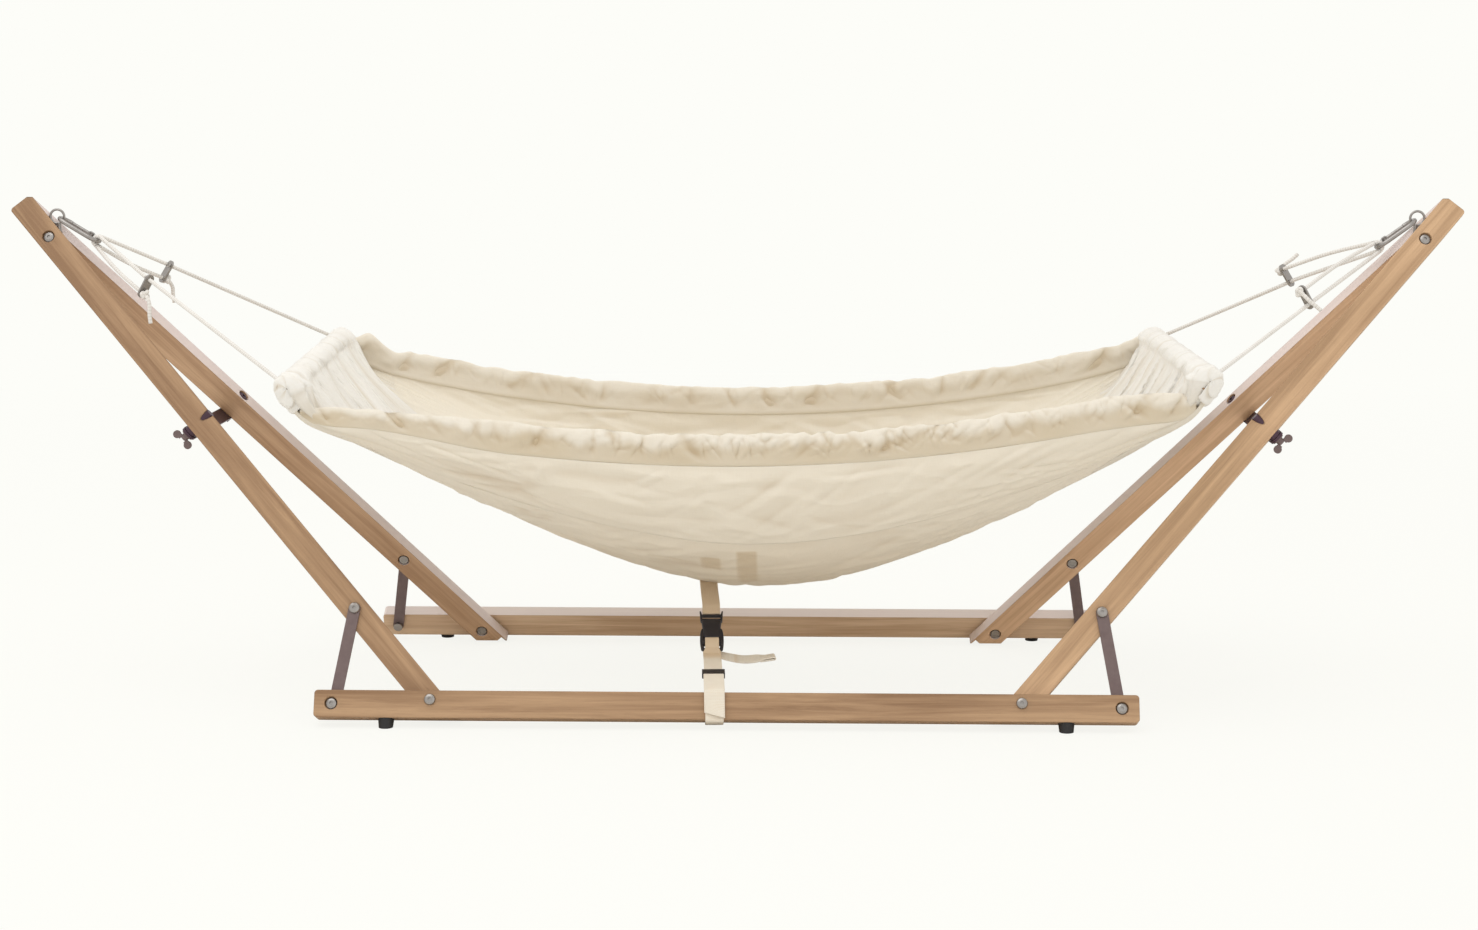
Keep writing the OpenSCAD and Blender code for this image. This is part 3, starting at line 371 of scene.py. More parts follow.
def thicken(obj: bpy.types.Object, thickness: float, offset: float = -1.0) -> None:
    """Gives a single sheet its thickness.

    Args:
        obj: sheet.
        thickness: thickness, in mm.
        offset: -1 to grow inwards, 0 to both sides, 1 outwards.
    """
    solid = obj.modifiers.new("thickness", "SOLIDIFY")
    solid.thickness = thickness * MM
    solid.offset = offset
    solid.use_rim = True


def paint(obj: bpy.types.Object, material: bpy.types.Material) -> None:
    """Gives a piece one material.

    Args:
        obj: piece.
        material: its material.
    """
    obj.data.materials.clear()
    obj.data.materials.append(material)


# ---- Materials ----


@dataclass(frozen=True)
class Graph:
    """A node tree, with short names for the nodes that the finishes are made of."""

    tree: bpy.types.NodeTree

    def find(self, kind: str) -> bpy.types.Node:
        """Finds a node that is there from the start.

        Args:
            kind: its type.

        Returns:
            The first node of the type.
        """
        return next(n for n in self.tree.nodes if n.type == kind)

    def feed(self, node: bpy.types.Node, inputs: dict[str | int, object]) -> None:
        """Sets or links inputs of a node.

        Args:
            node: node.
            inputs: value or output socket for each input, by name or index.
        """
        for key, value in inputs.items():
            if isinstance(value, Socket):
                self.tree.links.new(value, node.inputs[key])
            else:
                node.inputs[key].default_value = value

    def add(
        self, kind: str, inputs: dict[str | int, object] | None = None, **settings: object
    ) -> bpy.types.Node:
        """Adds one node.

        Args:
            kind: node type without its "ShaderNode" prefix.
            inputs: value or output socket for each input, by name or index.
            settings: properties of the node itself.

        Returns:
            The new node.
        """
        node = self.tree.nodes.new("ShaderNode" + kind)
        for key, value in settings.items():
            setattr(node, key, value)
        self.feed(node, inputs or {})
        return node

    def coords(self) -> Socket:
        """Object coordinates.

        Returns:
            Their socket, in metres.
        """
        return self.add("TexCoord").outputs["Object"]

    def uv(self) -> Socket:
        """The piece's own UV.

        Returns:
            Its socket.
        """
        return self.add("UVMap", uv_map=UV_NAME).outputs[0]

    def upward(self) -> Socket:
        """How far a face looks up.

        Returns:
            The height of its unit normal.
        """
        return self.add("SeparateXYZ", {0: self.add("NewGeometry").outputs["Normal"]}).outputs[2]

    def attribute(self, name: str) -> Socket:
        """Vertex attribute.

        Args:
            name: attribute name.

        Returns:
            Its socket.
        """
        return self.add("Attribute", attribute_name=name).outputs["Fac"]

    def noise(self, vector: Socket, scale: float, detail: float, **more: float) -> Socket:
        """Random field from 0 to 1.

        Args:
            vector: coordinates, in metres.
            scale: cells to the metre.
            detail: number of finer fields.
            more: Roughness and Distortion of the field.

        Returns:
            The field's socket.
        """
        return self.add("TexNoise", {"Vector": vector, "Scale": scale, "Detail": detail} | more).outputs[0]

    def streaked(self, vector: Socket, scale: Triple, detail: float, **more: float) -> Socket:
        """Random field drawn out along an axis.

        Args:
            vector: coordinates, in metres.
            scale: cells to the metre along each axis.
            detail: number of finer fields.
            more: Roughness and Distortion of the field.

        Returns:
            The field's socket.
        """
        stretched = self.add("VectorMath", {0: vector, 1: scale}, operation="MULTIPLY").outputs[0]
        return self.noise(stretched, 1.0, detail, **more)

    def wave(self, direction: str, pitch: float, **more: float) -> Socket:
        """Ribs across the UV.

        Args:
            direction: "X" or "Y", across the ribs.
            pitch: distance between ribs, in mm.
            more: Distortion and Detail of the ribs.

        Returns:
            The ribs' socket, from 0 to 1.
        """
        inputs = {"Vector": self.uv(), "Scale": WAVE_SCALE / (pitch * MM)} | more
        return self.add("TexWave", inputs, bands_direction=direction).outputs[1]

    def math(self, operation: str, a: object, b: object, clamp: bool = False) -> Socket:
        """Adds a math node.

        Args:
            operation: name of the operation.
            a: first value or socket.
            b: second value or socket.
            clamp: whether to keep the result from 0 to 1.

        Returns:
            The result's socket.
        """
        return self.add("Math", {0: a, 1: b}, operation=operation, use_clamp=clamp).outputs[0]

    def plus(self, a: object, b: object) -> Socket:
        """Sum of two values.

        Args:
            a: first value or socket.
            b: second value or socket.

        Returns:
            The sum's socket.
        """
        return self.math("ADD", a, b)

    def times(self, a: object, b: object) -> Socket:
        """Product of two values.

        Args:
            a: first value or socket.
            b: second value or socket.

        Returns:
            The product's socket.
        """
        return self.math("MULTIPLY", a, b)

    def rest(self, a: object) -> Socket:
        """What is left of 1.

        Args:
            a: value or socket.

        Returns:
            The socket of 1 - a.
        """
        return self.math("SUBTRACT", 1.0, a)

    def above(self, a: object, start: float, gain: float) -> Socket:
        """The part of a value above a threshold, raised.

        Args:
            a: value or socket.
            start: threshold.
            gain: what the part above it is multiplied by.

        Returns:
            The result's socket, from 0 to 1.
        """
        return self.math("MULTIPLY", self.math("SUBTRACT", a, start, True), gain, True)

    def mix(self, share: object, a: object, b: object, mode: str = "MIX") -> Socket:
        """Mixes two colours.

        Args:
            share: share of the second colour.
            a: first colour, as a socket or a hex code.
            b: second colour, as a socket or a hex code.
            mode: blend type.

        Returns:
            The mixed colour's socket.
        """
        a, b = (linear(c) if isinstance(c, str) else c for c in (a, b))
        return self.add("Mix", {0: share, 6: a, 7: b}, data_type="RGBA", blend_type=mode).outputs[2]

    def bump(self, height: Socket, distance: float, strength: float, normal: Socket | None = None) -> Socket:
        """Adds a bump node.

        Args:
            height: height socket, from 0 to 1.
            distance: height of 1, in mm.
            strength: share of the effect.
            normal: normal socket that this one builds on.

        Returns:
            The normal's socket.
        """
        inputs = {"Height": height, "Distance": distance * MM, "Strength": strength}
        return self.add("Bump", inputs | ({} if normal is None else {"Normal": normal})).outputs[0]


def new_material(name: str) -> tuple[bpy.types.Material, Graph, bpy.types.Node]:
    """Starts a material with one Principled shader.

    Args:
        name: name of the real material.

    Returns:
        The material, its graph and its shader node.
    """
    material = bpy.data.materials.new(name)
    material.use_nodes = True
    graph = Graph(material.node_tree)
    return material, graph, graph.find("BSDF_PRINCIPLED")


@dataclass(frozen=True)
class WoodFinish:
    """Oiled hardwood whose grain runs along one direction. The scales are cells to the metre."""

    light: str
    dark: str
    # Colour of the painted sheen on faces that look up.
    pale: str
    roughness: float = 0.5
    tone_scale: Triple = (3.0, 26.0, 26.0)
    streak_scale: Triple = (5.0, 150.0, 150.0)
    pore_scale: Triple = (55.0, 1500.0, 1500.0)
    edge_mm: float = 1.6

    def build(self, name: str, along: Sequence[float], shift: float) -> bpy.types.Material:
        """Makes the material: growth streaks 7 mm apart, pores 0.7 mm wide, slow tone changes along the bar.

        Args:
            name: material name.
            along: direction of the grain.
            shift: place in the pattern, so that no two members match.

        Returns:
            The material.
        """
        material, graph, shader = new_material(name)
        x = Vector(along).normalized()
        y = x.cross(Vector((0.0, 0.37, 0.93))).normalized()
        turn = Matrix((x, y, x.cross(y))).to_euler()
        place = {"Rotation": turn, "Location": (shift, shift * 0.37, shift * 0.71)}
        turned = graph.add("Mapping", {"Vector": graph.coords()} | place).outputs[0]
        slow = graph.streaked(turned, self.tone_scale, 2.0, Roughness=0.5, Distortion=0.4)
        streaks = graph.streaked(turned, self.streak_scale, 5.0, Roughness=0.65, Distortion=0.6)
        pores = graph.streaked(turned, self.pore_scale, 2.0, Roughness=0.6)
        ramp = graph.add("ValToRGB", {0: graph.plus(graph.times(slow, 0.45), graph.times(streaks, 0.55))})
        for stop, position, code in zip(ramp.color_ramp.elements, (0.38, 0.62), (self.dark, self.light)):
            stop.position, stop.color = position, linear(code)
        pits = graph.above(pores, 0.56, 4.0)
        colour = graph.mix(graph.times(pits, 0.4), ramp.outputs[0], self.dark)
        # Painted sheen: faces that look up are mixed towards the pale colour, standing in for light reflected
        # off the tops.
        wear_and_painted_sheen = graph.above(graph.upward(), 0.42, 5.0)
        rounded = graph.add("Bevel", {"Radius": self.edge_mm * MM}, samples=4).outputs["Normal"]
        height = graph.math("SUBTRACT", streaks, graph.times(pits, 0.7))
        looks = {
            "Base Color": graph.mix(graph.times(wear_and_painted_sheen, 0.8), colour, self.pale),
            "Roughness": graph.plus(graph.times(streaks, 0.25), self.roughness - 0.12),
            "Normal": graph.bump(height, 0.25, 0.6, rounded),
            "Specular IOR Level": 0.45,
        }
        graph.feed(shader, looks)
        return material


@dataclass(frozen=True)
class MetalFinish:
    """Bare or coated steel with a slightly uneven surface."""

    colour: str
    dull: str
    roughness: float
    metallic: float = 1.0
    grain_mm: float = 1.5
    blotch_mm: float = 8.0

    def build(self, name: str) -> bpy.types.Material:
        """Makes the material: wide blotches of colour, and fine grain in roughness and relief.

        Args:
            name: material name.

        Returns:
            The material.
        """
        material, graph, shader = new_material(name)
        coords = graph.coords()
        blotch = graph.noise(coords, 1000.0 / self.blotch_mm, 3.0)
        fine = graph.noise(coords, 1000.0 / self.grain_mm, 2.0)
        looks = {
            "Base Color": graph.mix(blotch, self.colour, self.dull),
            "Roughness": graph.plus(graph.times(fine, 0.3), self.roughness - 0.15),
            "Normal": graph.bump(fine, 0.05, 0.35),
            "Metallic": self.metallic,
        }
        graph.feed(shader, looks)
        return material


@dataclass(frozen=True)
class MouldedFinish:
    """Moulded rubber or plastic with a fine matt texture."""

    colour: str
    # Colour of the scuffs, which is real wear.
    wear_and_painted_sheen: str
    roughness: float
    texture_mm: float = 0.4
    scuff_mm: float = 6.25

    def build(self, name: str) -> bpy.types.Material:
        """Makes the material: a fine moulded texture with faint scuffs.

        Args:
            name: material name.

        Returns:
            The material.
        """
        material, graph, shader = new_material(name)
        coords = graph.coords()
        scuff = graph.noise(coords, 1000.0 / self.scuff_mm, 6.0, Roughness=0.7)
        fine = graph.noise(coords, 1000.0 / self.texture_mm, 1.0)
        looks = {
            "Base Color": graph.mix(graph.above(scuff, 0.5, 2.0), self.colour, self.wear_and_painted_sheen),
            "Roughness": graph.plus(graph.times(scuff, 0.3), self.roughness - 0.15),
            "Normal": graph.bump(fine, 0.04, 0.5),
        }
        graph.feed(shader, looks)
        return material


@dataclass(frozen=True)
class ClothFinish:
    """Thin unbleached cotton. Its UV is in metres, and its attributes are the share of tan, the painted shade
    in crease valleys and the painted shadow line at a hem's foot.
    """

    cream: str
    tan: str
    shade: str
    thread_mm: float = 0.9
    glow: float = 0.22
    crumple: float = 1.0
    slub_scale: tuple[float, float] = (60.0, 900.0)

    def build(self, name: str) -> bpy.types.Material:
        """Makes the material: plain weave, slubs both ways, soft crumples, and light through the cloth.

        Args:
            name: material name.

        Returns:
            The material.
        """
        material, graph, shader = new_material(name)
        uv, coords = graph.uv(), graph.coords()
        yarn = {"Distortion": 0.6, "Detail": 1.0, "Detail Scale": 0.4}
        weave = graph.times(*(graph.wave(direction, self.thread_mm, **yarn) for direction in "XY"))
        long, short = self.slub_scale
        scales = ((long, short, 1.0), (short, long, 1.0))
        slubs = (graph.streaked(uv, scale, 3.0, Roughness=0.6) for scale in scales)
        threads = graph.plus(*slubs)
        cloud = graph.noise(coords, 14.0, 3.0)
        crumple = graph.noise(coords, 38.0, 5.0, Roughness=0.55, Distortion=0.8)
        # Painted shade: the tan share is held back on faces that look up and kept on faces that look sideways
        # or down.
        lit = graph.math("MULTIPLY", graph.upward(), 1.2, True)
        tint = graph.times(graph.attribute("tint"), graph.rest(graph.times(lit, 0.85)))
        colour = graph.mix(tint, self.cream, self.tan)
        colour = graph.mix(graph.times(cloud, 0.22), colour, self.shade)
        colour = graph.mix(graph.above(threads, 0.95, 0.7), colour, self.shade)
        # Painted shade: darkens the cloth towards tan in the valleys of wrinkles, gathers and pleats.
        colour = graph.mix(graph.times(graph.attribute("fold"), 0.75), colour, self.tan, "MULTIPLY")
        # Painted shadow line: darker along the stitched foot of each hem.
        colour = graph.mix(graph.times(graph.attribute("seam"), 0.5), colour, self.shade)
        normal = graph.bump(crumple, 1.6 * self.crumple, 0.7)
        normal = graph.bump(threads, 0.12, 0.4, normal)
        normal = graph.bump(weave, 0.12, 0.5, normal)
        looks = {
            "Base Color": colour,
            "Normal": normal,
            "Roughness": 0.92,
            "Specular IOR Level": 0.2,
            "Sheen Weight": 0.12,
            "Sheen Roughness": 0.6,
        }
        graph.feed(shader, looks)
        through = graph.add("BsdfTranslucent", {"Color": colour, "Normal": normal}).outputs[0]
        mixed = graph.add("MixShader", {0: self.glow, 1: shader.outputs[0], 2: through}).outputs[0]
        graph.feed(graph.find("OUTPUT_MATERIAL"), {"Surface": mixed})
        return material


@dataclass(frozen=True)
class RopeFinish:
    """Braided cotton cord. Its UV is metres along and turns around."""

    light: str
    groove: str
    pitch_mm: float = 9.0
    strands: int = 4

    def build(self, name: str) -> bpy.types.Material:
        """Makes the material: two sets of strands that cross.

        Args:
            name: material name.

        Returns:
            The material.
        """
        material, graph, shader = new_material(name)
        parts = graph.add("SeparateXYZ", {0: graph.uv()})
        along = graph.times(parts.outputs[0], 2 * math.pi / (self.pitch_mm * MM))
        around = graph.times(parts.outputs[1], 2 * math.pi * self.strands)
        ways = (graph.math(way, along, around) for way in ("ADD", "SUBTRACT"))
        crossed = graph.times(*(graph.math("SINE", way, 0.0) for way in ways))
        braid = graph.plus(graph.times(crossed, 0.5), 0.5)
        coords = graph.coords()
        # Painted shade: the braid's grooves are darkened towards the groove colour, more in some patches than
        # others.
        fuzz, groove_shade_patches = graph.noise(coords, 900.0, 3.0), graph.noise(coords, 40.0, 3.0)
        share = graph.math("MULTIPLY", graph.rest(braid), graph.plus(groove_shade_patches, 0.1), True)
        looks = {
            "Base Color": graph.mix(share, self.light, self.groove),
            "Normal": graph.bump(fuzz, 0.12, 0.4, graph.bump(braid, 0.35, 0.7)),
            "Roughness": 0.85,
            "Specular IOR Level": 0.2,
        }
        graph.feed(shader, looks)
        return material


@dataclass(frozen=True)
class WebbingFinish:
    """Flat woven cotton webbing. Its UV is metres along and metres across."""

    light: str
    dark: str
    rib_mm: float = 1.6
    cord_mm: float = 2.0

    def build(self, name: str) -> bpy.types.Material:
        """Makes the material: ribs across the tape and finer cords along it.

        Args:
            name: material name.

        Returns:
            The material.
        """
        material, graph, shader = new_material(name)
        ribs = graph.wave("X", self.rib_mm, Distortion=0.8, Detail=1.0)
        lines = graph.wave("Y", self.cord_mm, Distortion=0.3)
        mottle = graph.noise(graph.coords(), 110.0, 4.0)
        colour = graph.mix(graph.attribute("tint"), self.light, self.dark)
        # Painted shade: the grooves between the ribs are darkened, more in some patches than others.
        grooves = graph.times(graph.rest(ribs), graph.times(mottle, 0.5))
        looks = {
            "Base Color": graph.mix(grooves, colour, self.dark),
            "Normal": graph.bump(lines, 0.15, 0.5, graph.bump(ribs, 0.3, 0.7)),
            "Roughness": 0.9,
            "Specular IOR Level": 0.2,
        }
        graph.feed(shader, looks)
        return material


# ---- The cradle's cloth ----


BAR_YAW = math.radians(3.3)
BAR_ROLL = math.radians(0.9)
LEFT_BAR = (-481.5, 373.0)
RIGHT_BAR = (512.5, 380.0)
CLOTH_ENDS = (-470, 500)  # x of the creased length, in mm
HEM_FLAT = 0.076  # girth of a hem, in metres
HEM_FULLNESS = 1.3
SLEEVE_FLAT = (0.21, 0.7)  # in metres


def bar_point(end: End, v: Array | float) -> Array:
    """Point of a spreader bar's axis; the left bar hangs turned and tilted.

    Args:
        end: which bar.
        v: distance behind the middle, in mm.

    Returns:
        Points, in mm.
    """
    if end is End.LEFT:
        x, z = LEFT_BAR
        return np.stack(
            [x - math.sin(BAR_YAW) * v, math.cos(BAR_YAW) * v, z + math.sin(BAR_ROLL) * v], axis=-1
        )
    x, z = RIGHT_BAR
    return np.stack([x + 0 * v, v, z + 0 * v], axis=-1)


@dataclass(frozen=True)
class CradleForm:
    """The hanging cloth's form, in mm: t runs from -1 at the left bar to 1 at the right bar."""

    middle: float = 15.5
    half: float = 497.0
    left_yaw: float = math.tan(BAR_YAW)
    left_roll: float = math.tan(BAR_ROLL)
    bar_step: float = 3.5
    hem_half: float = 232.0
    hem_low: float = 319.0
    hem_rise: float = 62.0
    hem_drop: float = 28.0
    hem_height: float = 33.0
    end_z: float = 358.7
    belly_low: float = 117.0
    belly_rise: float = 306.0
    belly_soft: float = 0.445
    section_power: float = 1.1
    side_share: float = 33.0
    hem_span: float = 1 - 12 / 497
    cloth_span: float = 1 - 4 / 497

    def hung(self, t: Array, y: Array, z: Array) -> Array:
        """Places a point of the cloth, leaned with the left bar towards the left end.

        Args:
            t: place between the bars.
            y: distance behind the middle, in mm.
            z: height, in mm.

        Returns:
            Points, in mm.
        """
        t, y, z = np.broadcast_arrays(t, y, z)
        s = ((1 - t) / 2) ** 2
        x = self.middle + self.half * t - self.left_yaw * y * s
        return np.stack([x, y, z + self.bar_step * t + self.left_roll * y * s], axis=-1)

    def hem_top(self, t: Array, side: Side) -> Array:
        """Height of a hem's top edge.

        Args:
            t: place between the bars.
            side: front or rear.

        Returns:
            Heights, in mm.
        """
        share = np.abs(t / self.cloth_span)
        drop = np.where(t < 0, share**5, share**14) * self.hem_drop if side is Side.FRONT else 0.0
        return self.hem_low + self.hem_rise * t * t - drop

    def hem_bottom(self, t: Array, side: Side) -> Array:
        """Height of the stitched line below a hem, which rises to the sleeves at the ends.

        Args:
            t: place between the bars.
            side: front or rear.

        Returns:
            Heights, in mm.
        """
        q = np.abs(t / self.cloth_span) ** (36 if side is Side.FRONT else 16)
        last = self.hem_top(np.array(self.cloth_span), side)
        slim = 1 - (0.4 * smooth(-t, 0.5, 0.86) if side is Side.FRONT else 0.0)
        return self.hem_top(t, side) - self.hem_height * slim * (1 - q) - (last - self.end_z - 0.7) * q

    def hem_out(self, t: Array) -> Array:
        """Half the cradle's width at its hems.

        Args:
            t: place between the bars.

        Returns:
            Half widths, in mm.
        """
        return self.hem_half + 4 * t * t

    def belly(self, t: Array) -> Array:
        """Height of the keel line.

        Args:
            t: place between the bars.

        Returns:
            Heights, in mm.
        """

        def slope(s: Array) -> Array:
            """Height of the slung part of the line.

            Args:
                s: place between the bars.

            Returns:
                Heights, in mm.
            """
            rise = np.hypot(s - 0.05, self.belly_soft) - self.belly_soft
            return self.belly_low + 6 * s + self.belly_rise * rise

        q = np.abs(t / self.cloth_span) ** 16
        return slope(t) + (self.end_z - 3 - slope(np.where(t < 0, -self.cloth_span, self.cloth_span))) * q

    def bag(self, t: Array, angle: Array, inset: float = 1.5) -> Array:
        """Point of the bag below the hems.

        Args:
            t: place between the bars.
            angle: degrees round the section: -90 at the front hem, 0 at the keel, 90 at the rear hem.
            inset: distance inside the outer skin, in mm.

        Returns:
            Points, in mm.
        """
        t, angle = np.broadcast_arrays(t, angle)
        a = np.radians(90 - np.abs(angle))
        edge = np.where(angle < 0, self.hem_bottom(t, Side.FRONT), self.hem_bottom(t, Side.REAR))
        y = np.sign(angle) * (self.hem_out(t) - inset) * np.maximum(np.cos(a), 0) ** self.section_power
        return self.hung(t, y, edge - (edge - self.belly(t) - inset) * np.sin(a))


FORM = CradleForm()


def normals(points: Array) -> Array:
    """Normals of a grid of points.

    Args:
        points: rows by columns by 3.

    Returns:
        Unit normals, row direction x column direction.
    """
    return unit(np.cross(np.gradient(points, axis=0), np.gradient(points, axis=1)))


def run(points: Array, axis: int) -> Array:
    """Distance along the middle line of a grid.

    Args:
        points: rows by columns by 3, in mm.
        axis: 0 for the distance over rows, 1 over columns.

    Returns:
        Distances from the first row or column, in mm.
    """
    middle = points[:, points.shape[1] // 2] if axis == 0 else points[points.shape[0] // 2]
    return distances(middle)


def pleats(y: Array, seed: int, pitch: float = 13.0) -> Array:
    """Uneven gathers across the end of the cloth.

    Args:
        y: distance across the cloth, in mm.
        seed: seed of their spacing.
        pitch: mean distance between gathers, in mm.

    Returns:
        Heights from about -1 to 1, with sharp valleys.
    """
    phase = y / pitch + 0.9 * noise(y / 31.0, 0 * y, seed) + 0.5 * noise(y / 12.0, 0 * y + 3, seed + 1)
    height = 0.7 + 0.5 * noise(y / 22.0, 0 * y + 9, seed + 2)
    return (np.abs(np.sin(math.pi * phase)) ** 0.7 * 2 - 1) * height


@dataclass
class BagPanel:
    """One panel of the bag: the front, the rear or the bottom, with its wrinkles."""

    name: str
    low: float
    high: float
    columns: int
    seed: int
    material: bpy.types.Material

    def surface(self) -> tuple[Array, Array, Array]:
        """Works out the panel's points.

        Returns:
            The points in mm, the tint and the painted shade of the wrinkle valleys, each as a grid.
        """
        rows = 420
        t = FORM.cloth_span * np.sin(np.linspace(-math.pi / 2, math.pi / 2, rows))[:, None]
        angle = np.linspace(self.low, self.high, self.columns)[None, :]
        base = FORM.bag(t, angle)
        out = -normals(base)
        x, y, z = base[..., 0], base[..., 1], base[..., 2]
        along = np.broadcast_to(FORM.middle + FORM.half * t, x.shape)
        girth = np.broadcast_to(run(base, 1)[None, :], x.shape)
        gap = FORM.half * (FORM.cloth_span - np.abs(t)) + 0 * x
        ends = np.exp(-gap / 75.0)
        push = 4.2 * ends * pleats(y * (1 + 0.0009 * gap), 40, 9.0)
        slack = smooth(gap, 70, 190) * (1 - 0.45 * bell(angle + 0 * x, 0, 40))
        push += slack * 3.6 * rumple(along / 130.0, girth / 60.0, self.seed + 11, 3)
        bent = along / 70.0 + 0.8 * noise(along / 90, girth / 60, 5)
        bent_girth = girth / 30.0 + 0.5 * noise(along / 60, girth / 40, 8)
        push += slack * 2.8 * (1 - 2.2 * np.abs(rumple(bent, bent_girth, self.seed + 21, 2)))
        push += slack * self.creases().field(along, girth)
        edge = np.minimum(np.abs(angle - self.low), np.abs(angle - self.high)) + 0 * x
        push *= 0.25 + 0.75 * smooth(edge, 0, 7)
        points = base + out * push[..., None]
        # Painted shade in the wrinkle valleys, deeper where the cloth is pushed in.
        fold = np.clip(-push / 10.0, 0, 0.35)
        return points, self.tint(x, z), fold

    def creases(self) -> Creases:
        """The panel's short creases.

        Returns:
            Their scatter.
        """
        wide = 120 if self.name != "belly_cloth" else 480
        return Creases(
            count=wide // 2,
            seed=self.seed + 5,
            u=CLOTH_ENDS,
            v=(0, wide),
            turn=(-40, 40),
            length=(25, 80),
            width=(3, 7),
            depth=(0.7, 2.6),
        )

    def tint(self, x: Array, z: Array) -> Array:
        """Share of tan: the bottom is darker, and two webbing ends show through the cloth near the middle.

        Args:
            x: place along the cradle, in mm.
            z: height, in mm.

        Returns:
            Shares from 0 to 1.
        """
        tint = 0.12 + 0.3 * smooth(np.abs(z), 240, 130) if self.name == "belly_cloth" else 0.12 + 0 * z
        for ends in (((-29, -6), (156, 176)), ((11, 34), (133, 186))):
            inside = 0.75
            for at, (low, high), blur in zip((x, z), ends, (1.5, 2)):
                inside = inside * smooth(at, low - blur, low + blur) * smooth(-at, -high - blur, -high + blur)
            tint = np.maximum(tint, inside)
        return tint

    def build(self) -> bpy.types.Object:
        """Makes the panel.

        Returns:
            The panel, 1.2 mm thick.
        """
        points, tint, fold = self.surface()
        u, v = run(points, 0) * MM, run(points, 1) * MM
        obj = grid_mesh(self.name, points, u, v, attributes={"tint": tint, "fold": fold, "seam": 0 * tint})
        thicken(obj, 1.2, 0.0)
        paint(obj, self.material)
        return obj


@dataclass
class Hem:
    """Gathered casing along one edge of the bag."""

    side: Side
    material: bpy.types.Material

    def build(self) -> bpy.types.Object:
        """Makes the hem as one flattened tube: up the outside, over the puffed top and down the inside.

        Returns:
            The hem.
        """
        front = self.side is Side.FRONT
        rows, cols = 880, 50
        span = FORM.hem_span
        t = np.linspace(-span, span, rows)[:, None]
        turn = np.linspace(0, 2 * math.pi, cols, endpoint=False)[None, :]
        x = FORM.middle + FORM.half * t
        low, top = FORM.hem_bottom(t, self.side), FORM.hem_top(t, self.side)
        height = top - low
        up = 0.5 - 0.5 * np.cos(turn)
        outside = np.sin(turn)
        edge = 0.68 + 0.15 * noise(x / 27.0, 0 * x + 5, 17) + 0.08 * noise(x / 9.0, 0 * x + 8, 19)
        puff = (2.2 if front else 0.5) + 3.0 * smooth(up - edge, -0.3, 0.15) + 0.8 * smooth(0.2 - up, 0, 0.15)
        mouth = 0 * x if front else 1.5 * bell(x, -446, 13) - 0.5 * bell(x, -416, 11) + 0.4 * bell(x, 490, 14)
        wide = np.maximum(height / FORM.hem_height, 0.35) * (1 + 0.9 * mouth)
        seed = 31 if front else 61
        strong = smooth(x, -210, -60) * (1 - 0.35 * smooth(x, 230, 380)) if front else 0.35 + 0 * x
        strong = 0.25 + 0.75 * strong
        wobble = 1.9 * rumple(x / 34.0, 0 * x, seed, 3) + 1.3 * strong * noise(x / 9.0, 0 * x + 2, seed + 4)
        z = low + (height + 8 * mouth) * up + wobble * smooth(up, 0.3, 1.0) * 1.2
        hem_y = FORM.hem_out(t) - 2.5 + outside * puff * wide
        s = up * FORM.hem_height
        count = 330 if front else 150
        small = Creases(count, seed + 7, CLOTH_ENDS, (10, 36), (20, 160), (5, 17), (1.3, 3.0), (0.7, 2.6))
        large = Creases(40, seed + 9, CLOTH_ENDS, (0, 30), (20, 160), (16, 40), (4, 8), (0.8, 3.2))
        gather, broad = (creases.field(x + 0 * s, s) for creases in (small, large))
        ruffle = 0.62 * strong * gather + 0.9 * broad
        ruffle = ruffle * smooth(up, 0.08, 0.45) * (0.4 + 0.6 * np.abs(outside))
        hem_y = hem_y + np.sign(outside) * ruffle * (1.0 if front else 0.7)
        points = FORM.hung(t + 0 * turn, self.side.value * hem_y, z)
        if front:
            points = points[:, ::-1]
            ruffle, up, outside = ruffle[:, ::-1], up[:, ::-1], outside[:, ::-1]
        # Tan share: random tone, plus painted shade below the puffed top edge, full on the front hem and a
        # quarter as strong on the rear.
        tint = 0.1 + 0.12 * noise(x / 50.0, 0 * x + 3, 7)
        tint = tint + 0.5 * (1 - smooth(up - edge, -0.2, 0.12)) * (1.0 if front else 0.25)
        # Painted shade in the valleys of the gathers.
        fold = np.clip(-ruffle / 4.4, 0, 0.55)
        # Painted shadow line along the hem's stitched foot.
        seam = bell(up, 0.03, 0.05) + 0 * x
        u, v = (x[:, 0] - x[0, 0]) * MM * HEM_FULLNESS, np.linspace(0, HEM_FLAT, cols + 1)
        grids = {"tint": tint, "fold": fold, "seam": seam}
        obj = grid_mesh(f"{self.side.name.lower()}_hem_gathers", points, u, v, wrap=True, attributes=grids)
        thicken(obj, 1.0)
        paint(obj, self.material)
        return obj


